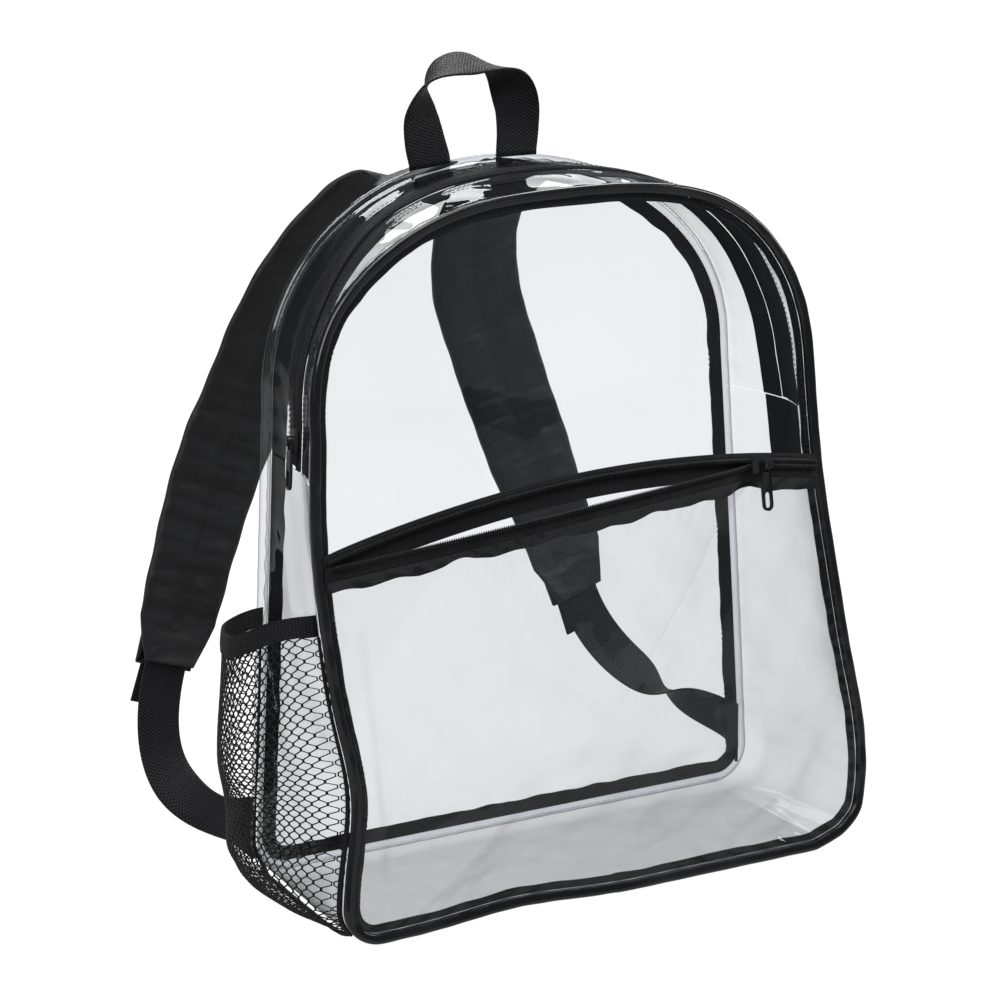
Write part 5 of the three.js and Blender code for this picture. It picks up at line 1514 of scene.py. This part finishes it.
def strap_frame(side, rows, count=241):
    """The strap's middle line at even lengths, with its directions. The root starts square to the back
    seam, and the width turns level within the first fifth."""
    low, high = back_top(side * 36 - 25), back_top(side * 36 + 25)
    root = unit(high - low)
    back = unit(np.array([0.0, 1.0, 0.0]) - root * root[1])
    start = (low + high) / 2 + back * (PIPING + 4 * CLEARANCE)
    places = rows * [BASE_WIDTH, BASE_DEPTH, BACK_HEIGHT] + [0.0, BASE_DEPTH, SEAM_FOOT]
    points = np.concatenate([[start], places])
    fine = smooth_line(points, np.linspace(0, len(points) - 1, 1201))
    run = lengths_along(fine)
    t = np.linspace(0, 1, count)
    line = np.stack([np.interp(t * run[-1], run, fine[:, k]) for k in range(3)], axis=1)
    along = unit(np.gradient(line, axis=0))
    along = unit(back + (along - back) * smooth(t, 0, 0.05)[:, None])
    wide = root + (np.array([1.0, 0, 0]) - root) * smooth(t, 0, 0.2)[:, None]
    wide = unit(wide - along * (wide * along).sum(-1, keepdims=True))
    return t, run[-1], line, along, wide, unit(np.cross(wide, along))


print("strap's line:", round(float(strap_frame(-1, LEFT_STRAP)[1])), "mm long")


# %% Stitches on the straps
def sewn_runs(name, runs, pitch, size, thick):
    """One mesh with the stitches of several runs, each run a line of points with its facing."""
    rows = []
    for seat, facing in runs:
        places, facing = even_line(seat, pitch, facing)
        rows.append((places, *frames_along(places, facing)))
    places, along, across, up = (np.concatenate(part) for part in zip(*rows))
    return strewn(name, lozenge(size, thick, thick * 0.8), places, along, across, up, THREAD)


def crossed_stitches(name, at, length, line, wide, face, full, t):
    """A sewn box with both its diagonals, 22 mm wide and 24 mm tall, right of the strap's middle and
    30 mm up from its tip. It goes through the strap, so it shows on both faces."""
    a, b, c, d = (-2.0, 30.0), (20.0, 30.0), (20.0, 54.0), (-2.0, 54.0)
    runs = []
    for start, end in ((a, b), (b, c), (c, d), (d, a), (a, c), (b, d)):
        spot = np.array(start) + (np.array(end) - start) * np.linspace(0, 1, 30)[:, None]
        place = 1 - spot[:, 1] / length
        thick = np.interp(place, t, full)[:, None]
        for front in (-1, 1):
            lift = front * (thick / 2 + 0.45)
            seat = at(place, line) + spot[:, :1] * at(place, wide) + lift * at(place, face)
            runs.append((seat, front * at(place, face)))
    sewn_runs(name, runs, 2.8, 2.2, 0.75)


print("stitches: 2.8 to 3 mm from one to the next")


# %% Both straps
def strap(side, name, rows, seed):
    """A superellipse section carried down the line. Its width grows from 50 to 54 mm, narrows to 47
    where the adjuster is sewn on, and tapers to 30 over the tip. Its thickness swells from the root to
    7 mm and is half of that at the tip. Wrinkles that run across move its two faces out and in."""
    t, length, line, along, wide, face = strap_frame(side, rows)
    tip = 1 - STRAP_TIP / length
    width = ROOT_WIDTH + (FULL_WIDTH - ROOT_WIDTH) * smooth(t, 0, 0.3)
    width = width + (LOW_WIDTH - width) * smooth(t, 0.6, tip)
    width = width + (TIP_WIDTH - LOW_WIDTH) * np.clip((t - tip) / (1 - tip), 0, 1)
    full = STRAP_THICKNESS * (0.3 + 0.7 * smooth(t, 0, 0.15))
    full = full * (1 - (1 - TIP_FULLNESS) * smooth(t, 0.85, tip))
    section = rounded_section(1.0, 1.0, 44, 3.4)
    x = section[None, :, 0] * width[:, None]
    y = section[None, :, 1] * full[:, None]
    run = t[:, None] * length
    wrinkles = waves(run + 0.12 * np.abs(x), 0.16 * x, seed, 22, count=8, sharp=0.5)
    wrinkles += 0.5 * waves(run, 0.35 * x, seed + 1, 9, count=6, sharp=0.5)
    inner = 1 - np.abs(2 * section[None, :, 0]) ** 6
    channel = -1.1 * np.exp(-((x / 1.6) ** 2))
    sewn = (smooth(t, 0.1, 0.16) * (1 - smooth(t, tip, 1)))[:, None]
    y = y + np.sign(y) * (0.95 * wrinkles * inner + channel * sewn)
    x = x * (1 + 0.012 * waves(run, 0 * x, seed + 2, 26, count=5))
    sections = line[:, None] + x[..., None] * wide[:, None] + y[..., None] * face[:, None]
    node = f"shoulder_strap_{name}"
    piece = carried(f"strap_{name}", sections, STRAP_CLOTH, (node,))
    on = (t > 0.11) & (t < tip)
    runs = [(line + (front * (full / 2 - 0.75))[:, None] * face, front * face) for front in (-1, 1)]
    for edge_side in (-1, 1):
        seat = line + (edge_side * (0.5 * width - 3.7))[:, None] * wide - (full * 0.47)[:, None] * face
        runs.append((seat, -face))
    sewn_runs(f"strap_{name}_stitches", [(seat[on], facing[on]) for seat, facing in runs], 3.0, 2.3, 0.65)

    def at(place, values):
        """The values at a place along the strap, read between the rows."""
        return np.stack([np.interp(place, t, values[:, k]) for k in range(3)], axis=-1)

    crossed_stitches(f"box_stitches_{name}", at, length, line, wide, face, full, t)
    return at(tip, line), unit(at(tip, along)), unit(at(tip, wide))


left_end = strap(-1, "left", LEFT_STRAP, 121)
right_end = strap(1, "right", RIGHT_STRAP, 131)
print("straps end", [round(float(end[0][2])) for end in (left_end, right_end)], "mm up")


# %% [markdown]
# ## Adjusters and lower webbing
# A short loop of webbing holds the ladder adjuster behind the strap's tip. The lower webbing goes round
# its middle bar, and both ends hang: one as a loose tail, the other down to a tab in the back seam.

# %% Loops, adjusters, webbing and tabs
BAR, SLOT, ADJUSTER_HALF = 4.0, 6.6, 1.5  # a bar's width, a slot's, and half the ladder's thickness
TAB_LENGTH, TAB_TALL, TAB_LIFT = 18.0, 36.0, 5.0


def lower_half(side, name, end):
    """The line of the lower webbing: the tail, a half circle round the bar, straight down behind the
    adjuster, then a cubic curve to the tab, with its width turning upright on the way."""
    middle, along, wide = end
    up = -along
    z_way = np.cross(wide, up)
    seated = STRAP_THICKNESS * TIP_FULLNESS / 2 + 2 * CLEARANCE
    middle = middle - (seated + ADJUSTER_HALF + CLEARANCE + WEBBING_THICKNESS) * z_way
    half_webbing = WEBBING_THICKNESS / 2

    def local(y, z):
        """A point by its distances up the strap and out of its face, from the strap's tip."""
        return middle + np.outer(np.atleast_1d(y), up) + np.outer(np.atleast_1d(z), z_way)

    half_y = BAR / 2 + CLEARANCE + WEBBING_THICKNESS
    half_z = ADJUSTER_HALF + CLEARANCE + WEBBING_THICKNESS
    turn = np.linspace(0, 2 * np.pi, 48, endpoint=False)
    round_y, round_z = (np.sign(v) * np.abs(v) ** 0.6 for v in (np.sin(turn), np.cos(turn)))
    ring_y = -CLEARANCE - half_y + round_y * (half_y - half_webbing)
    ring_z = round_z * (half_z - half_webbing)
    line = local(ring_y, ring_z)
    outward = unit(line - local(-CLEARANCE - half_y, 0))
    band = rounded_section(WEBBING_WIDTH, WEBBING_THICKNESS, 20, 7)
    sections = along_line(band, line, np.tile(wide, (48, 1)), outward)
    node = f"adjuster_loop_{name}"
    carried(f"loop_{name}", sections, WEBBING, (node,), loop=True)
    node = f"strap_adjuster_{name}"
    rounded_copy(node, f"ladder_{name}", HARD_PLASTIC, "bag", 0.0009)

    top = -CLEARANCE - half_y + BAR / 2
    bar_top, foot = top - BAR - SLOT, top - 3 * BAR - 2 * SLOT
    run = ADJUSTER_HALF + CLEARANCE + half_webbing
    tail_y = np.linspace(foot - 22, foot, 14)
    tail = local(tail_y, -run * np.linspace(1.9, 1.0, 14))
    swing = np.linspace(0, np.pi, 18)
    round_bar = local(bar_top + run * np.sin(swing), -run * np.cos(swing))
    down = local(np.linspace(bar_top - 2, foot, 6), np.full(6, run))
    tab_middle = SEAM_FOOT + TAB_LIFT + TAB_TALL / 2
    half = side_half(tab_middle)
    point, _, facing, _ = back_seam(np.array([half / 2 if side > 0 else 1 - half / 2]))
    way = unit(np.array([side * 0.35, 1.0, 0.0]))
    tab_start = point[0] + facing[0] * (PIPING + 2 * CLEARANCE)
    tab_start[2] = tab_middle
    join = tab_start + way * (TAB_LENGTH + CLEARANCE)
    start, heading = down[-1], unit(down[-1] - down[-2])
    drop = start[2] - join[2]
    w = np.linspace(0, 1, 90)[1:, None]
    a, b = start + heading * drop * 0.85, join + way * drop * 0.45
    fall = (1 - w) ** 3 * start + 3 * (1 - w) ** 2 * w * a + 3 * (1 - w) * w**2 * b + w**3 * join
    line = np.concatenate([tail, round_bar, down, fall])
    before = len(line) - len(fall)
    along_it = unit(np.gradient(line, axis=0))
    ease = smooth(np.concatenate([np.zeros(before), w[:, 0]]), 1 / 12, 1) * np.pi / 2
    spread = wide * np.cos(ease)[:, None] + np.array([0.0, 0.0, -side]) * np.sin(ease)[:, None]
    spread = unit(spread - along_it * (spread * along_it).sum(-1, keepdims=True))
    face = unit(np.cross(along_it, spread))
    section = rounded_section(WEBBING_WIDTH, WEBBING_THICKNESS, 24, 7)
    sections = along_line(section, line, spread, face)
    carried(f"webbing_{name}", sections, WEBBING, (f"lower_webbing_{name}",))

    t = np.linspace(0, 1, 12)[:, None]
    tall = (TAB_TALL + (WEBBING_WIDTH - TAB_TALL) * t) / 2 * np.linspace(-1, 1, 9)[None]
    thin = unit(np.cross(way, [0.0, 0.0, 1.0]))
    flat = (tab_start + t * TAB_LENGTH * way)[:, None] + tall[..., None] * np.array([0.0, 0.0, 1.0])
    front, back = flat + half_webbing * thin, flat - half_webbing * thin
    slab(f"tab_{name}", front, back, BINDING, (f"strap_tab_{name}",))


lower_half(-1, "left", left_end)
lower_half(1, "right", right_end)
shown = [n for n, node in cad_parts.items() if not node.hide_render]
print("nodes still plain:", shown)


# %% [markdown]
# ## The stage
# The floor is a broad pale sheet. The light is that of a small studio: a large soft lamp high on the
# left, a smaller one on the right that the ripples can mirror, one behind for the sheets' rims, and one
# overhead. The floor glows more for the camera than for the bag, so it stays white without greying the
# black trim, and the sky does the same.

# %% Floor, sky and lamps
def build_floor():
    """A matt floor whose glow is 0.305 for the bag, and 0.66 more where the camera looks at it."""
    material, tree, out = new_material("pale_floor", (0.9, 0.9, 0.9, 1))
    where = add_node(tree, "ShaderNodeTexCoord").outputs["Object"]
    mottle = add_node(tree, "ShaderNodeTexNoise", Vector=where, Scale=3.0, Detail=2.0).outputs[0]
    colour = mixed(tree, mottle, (0.08, 0.08, 0.08, 1), (0.1, 0.1, 0.1, 1))
    looked_at = add_node(tree, "ShaderNodeLightPath").outputs["Is Camera Ray"]
    shader = add_node(
        tree,
        "ShaderNodeBsdfPrincipled",
        Base_Color=colour,
        Roughness=0.7,
        Emission_Color=(1, 1, 1, 1),
        Emission_Strength=math_node(tree, "MULTIPLY_ADD", looked_at, 0.66, 0.305),
    ).outputs[0]
    tree.links.new(shader, out.inputs["Surface"])
    return material


def floor_points(size, count):
    """A level square grid, size metres from its middle to each side."""
    x, y = np.meshgrid(np.linspace(-size, size, count), np.linspace(-size, size, count))
    return np.stack([x, y, 0 * x - 0.0002], axis=-1).reshape(-1, 3)


floor_mesh = bpy.data.meshes.new("floor")
floor_mesh.from_pydata(floor_points(4, 9).tolist(), [], grid_faces(9, 9).tolist())
floor_mesh.materials.append(build_floor())
floor = bpy.data.objects.new("floor", floor_mesh)
bpy.context.scene.collection.objects.link(floor)

world = bpy.data.worlds.new("studio")
bpy.context.scene.world = world
world.use_nodes = True
world.node_tree.nodes.clear()
sky_out = add_node(world.node_tree, "ShaderNodeOutputWorld")
ray = add_node(world.node_tree, "ShaderNodeLightPath").outputs["Is Camera Ray"]
seen = add_node(world.node_tree, "ShaderNodeBackground", Color=(1, 1, 1, 1), Strength=1.0).outputs[0]
felt = add_node(world.node_tree, "ShaderNodeBackground", Color=(0.92, 0.96, 1, 1), Strength=0.14).outputs[0]
sky = add_node(world.node_tree, "ShaderNodeMixShader", i0=ray, i1=felt, i2=seen).outputs[0]
world.node_tree.links.new(sky, sky_out.inputs["Surface"])


LAMP_AIM = Vector((0, -0.04, 0.2))


def add_lamp(name, place, width, height, power):
    """A rectangular soft lamp, turned to face the bag. The camera can't see it."""
    lamp = bpy.data.lights.new(name, "AREA")
    lamp.shape, lamp.size, lamp.size_y, lamp.energy = "RECTANGLE", width, height, power
    made = bpy.data.objects.new(name, lamp)
    made.location = place
    made.rotation_mode = "QUATERNION"
    made.rotation_quaternion = (LAMP_AIM - Vector(place)).to_track_quat("-Z", "Y")
    made.visible_camera = False
    bpy.context.scene.collection.objects.link(made)
    return made


add_lamp("key_lamp", (-1.7, -1.3, 2.1), 1.9, 1.9, 50)
add_lamp("side_lamp", (2.1, -0.7, 1.5), 0.9, 1.4, 30)
add_lamp("rim_lamp", (0.9, 1.8, 1.9), 1.9, 1.0, 30)
add_lamp("top_lamp", (-0.2, 0.1, 2.3), 1.3, 1.3, 22)
bpy.context.scene.view_settings.view_transform = "Standard"
bpy.context.scene.cycles.transparent_max_bounces = 24
bpy.context.scene.cycles.max_bounces = 6
print("lamps:", [lamp.name for lamp in bpy.data.lights])


# %% [markdown]
# ## Close
# The last cell holds a helper that gives a box's two corners as plain lists of numbers.

# %% Finish
def corners(box):
    """A box's two corners as plain lists of numbers."""
    return [[float(x) for x in corner] for corner in box]
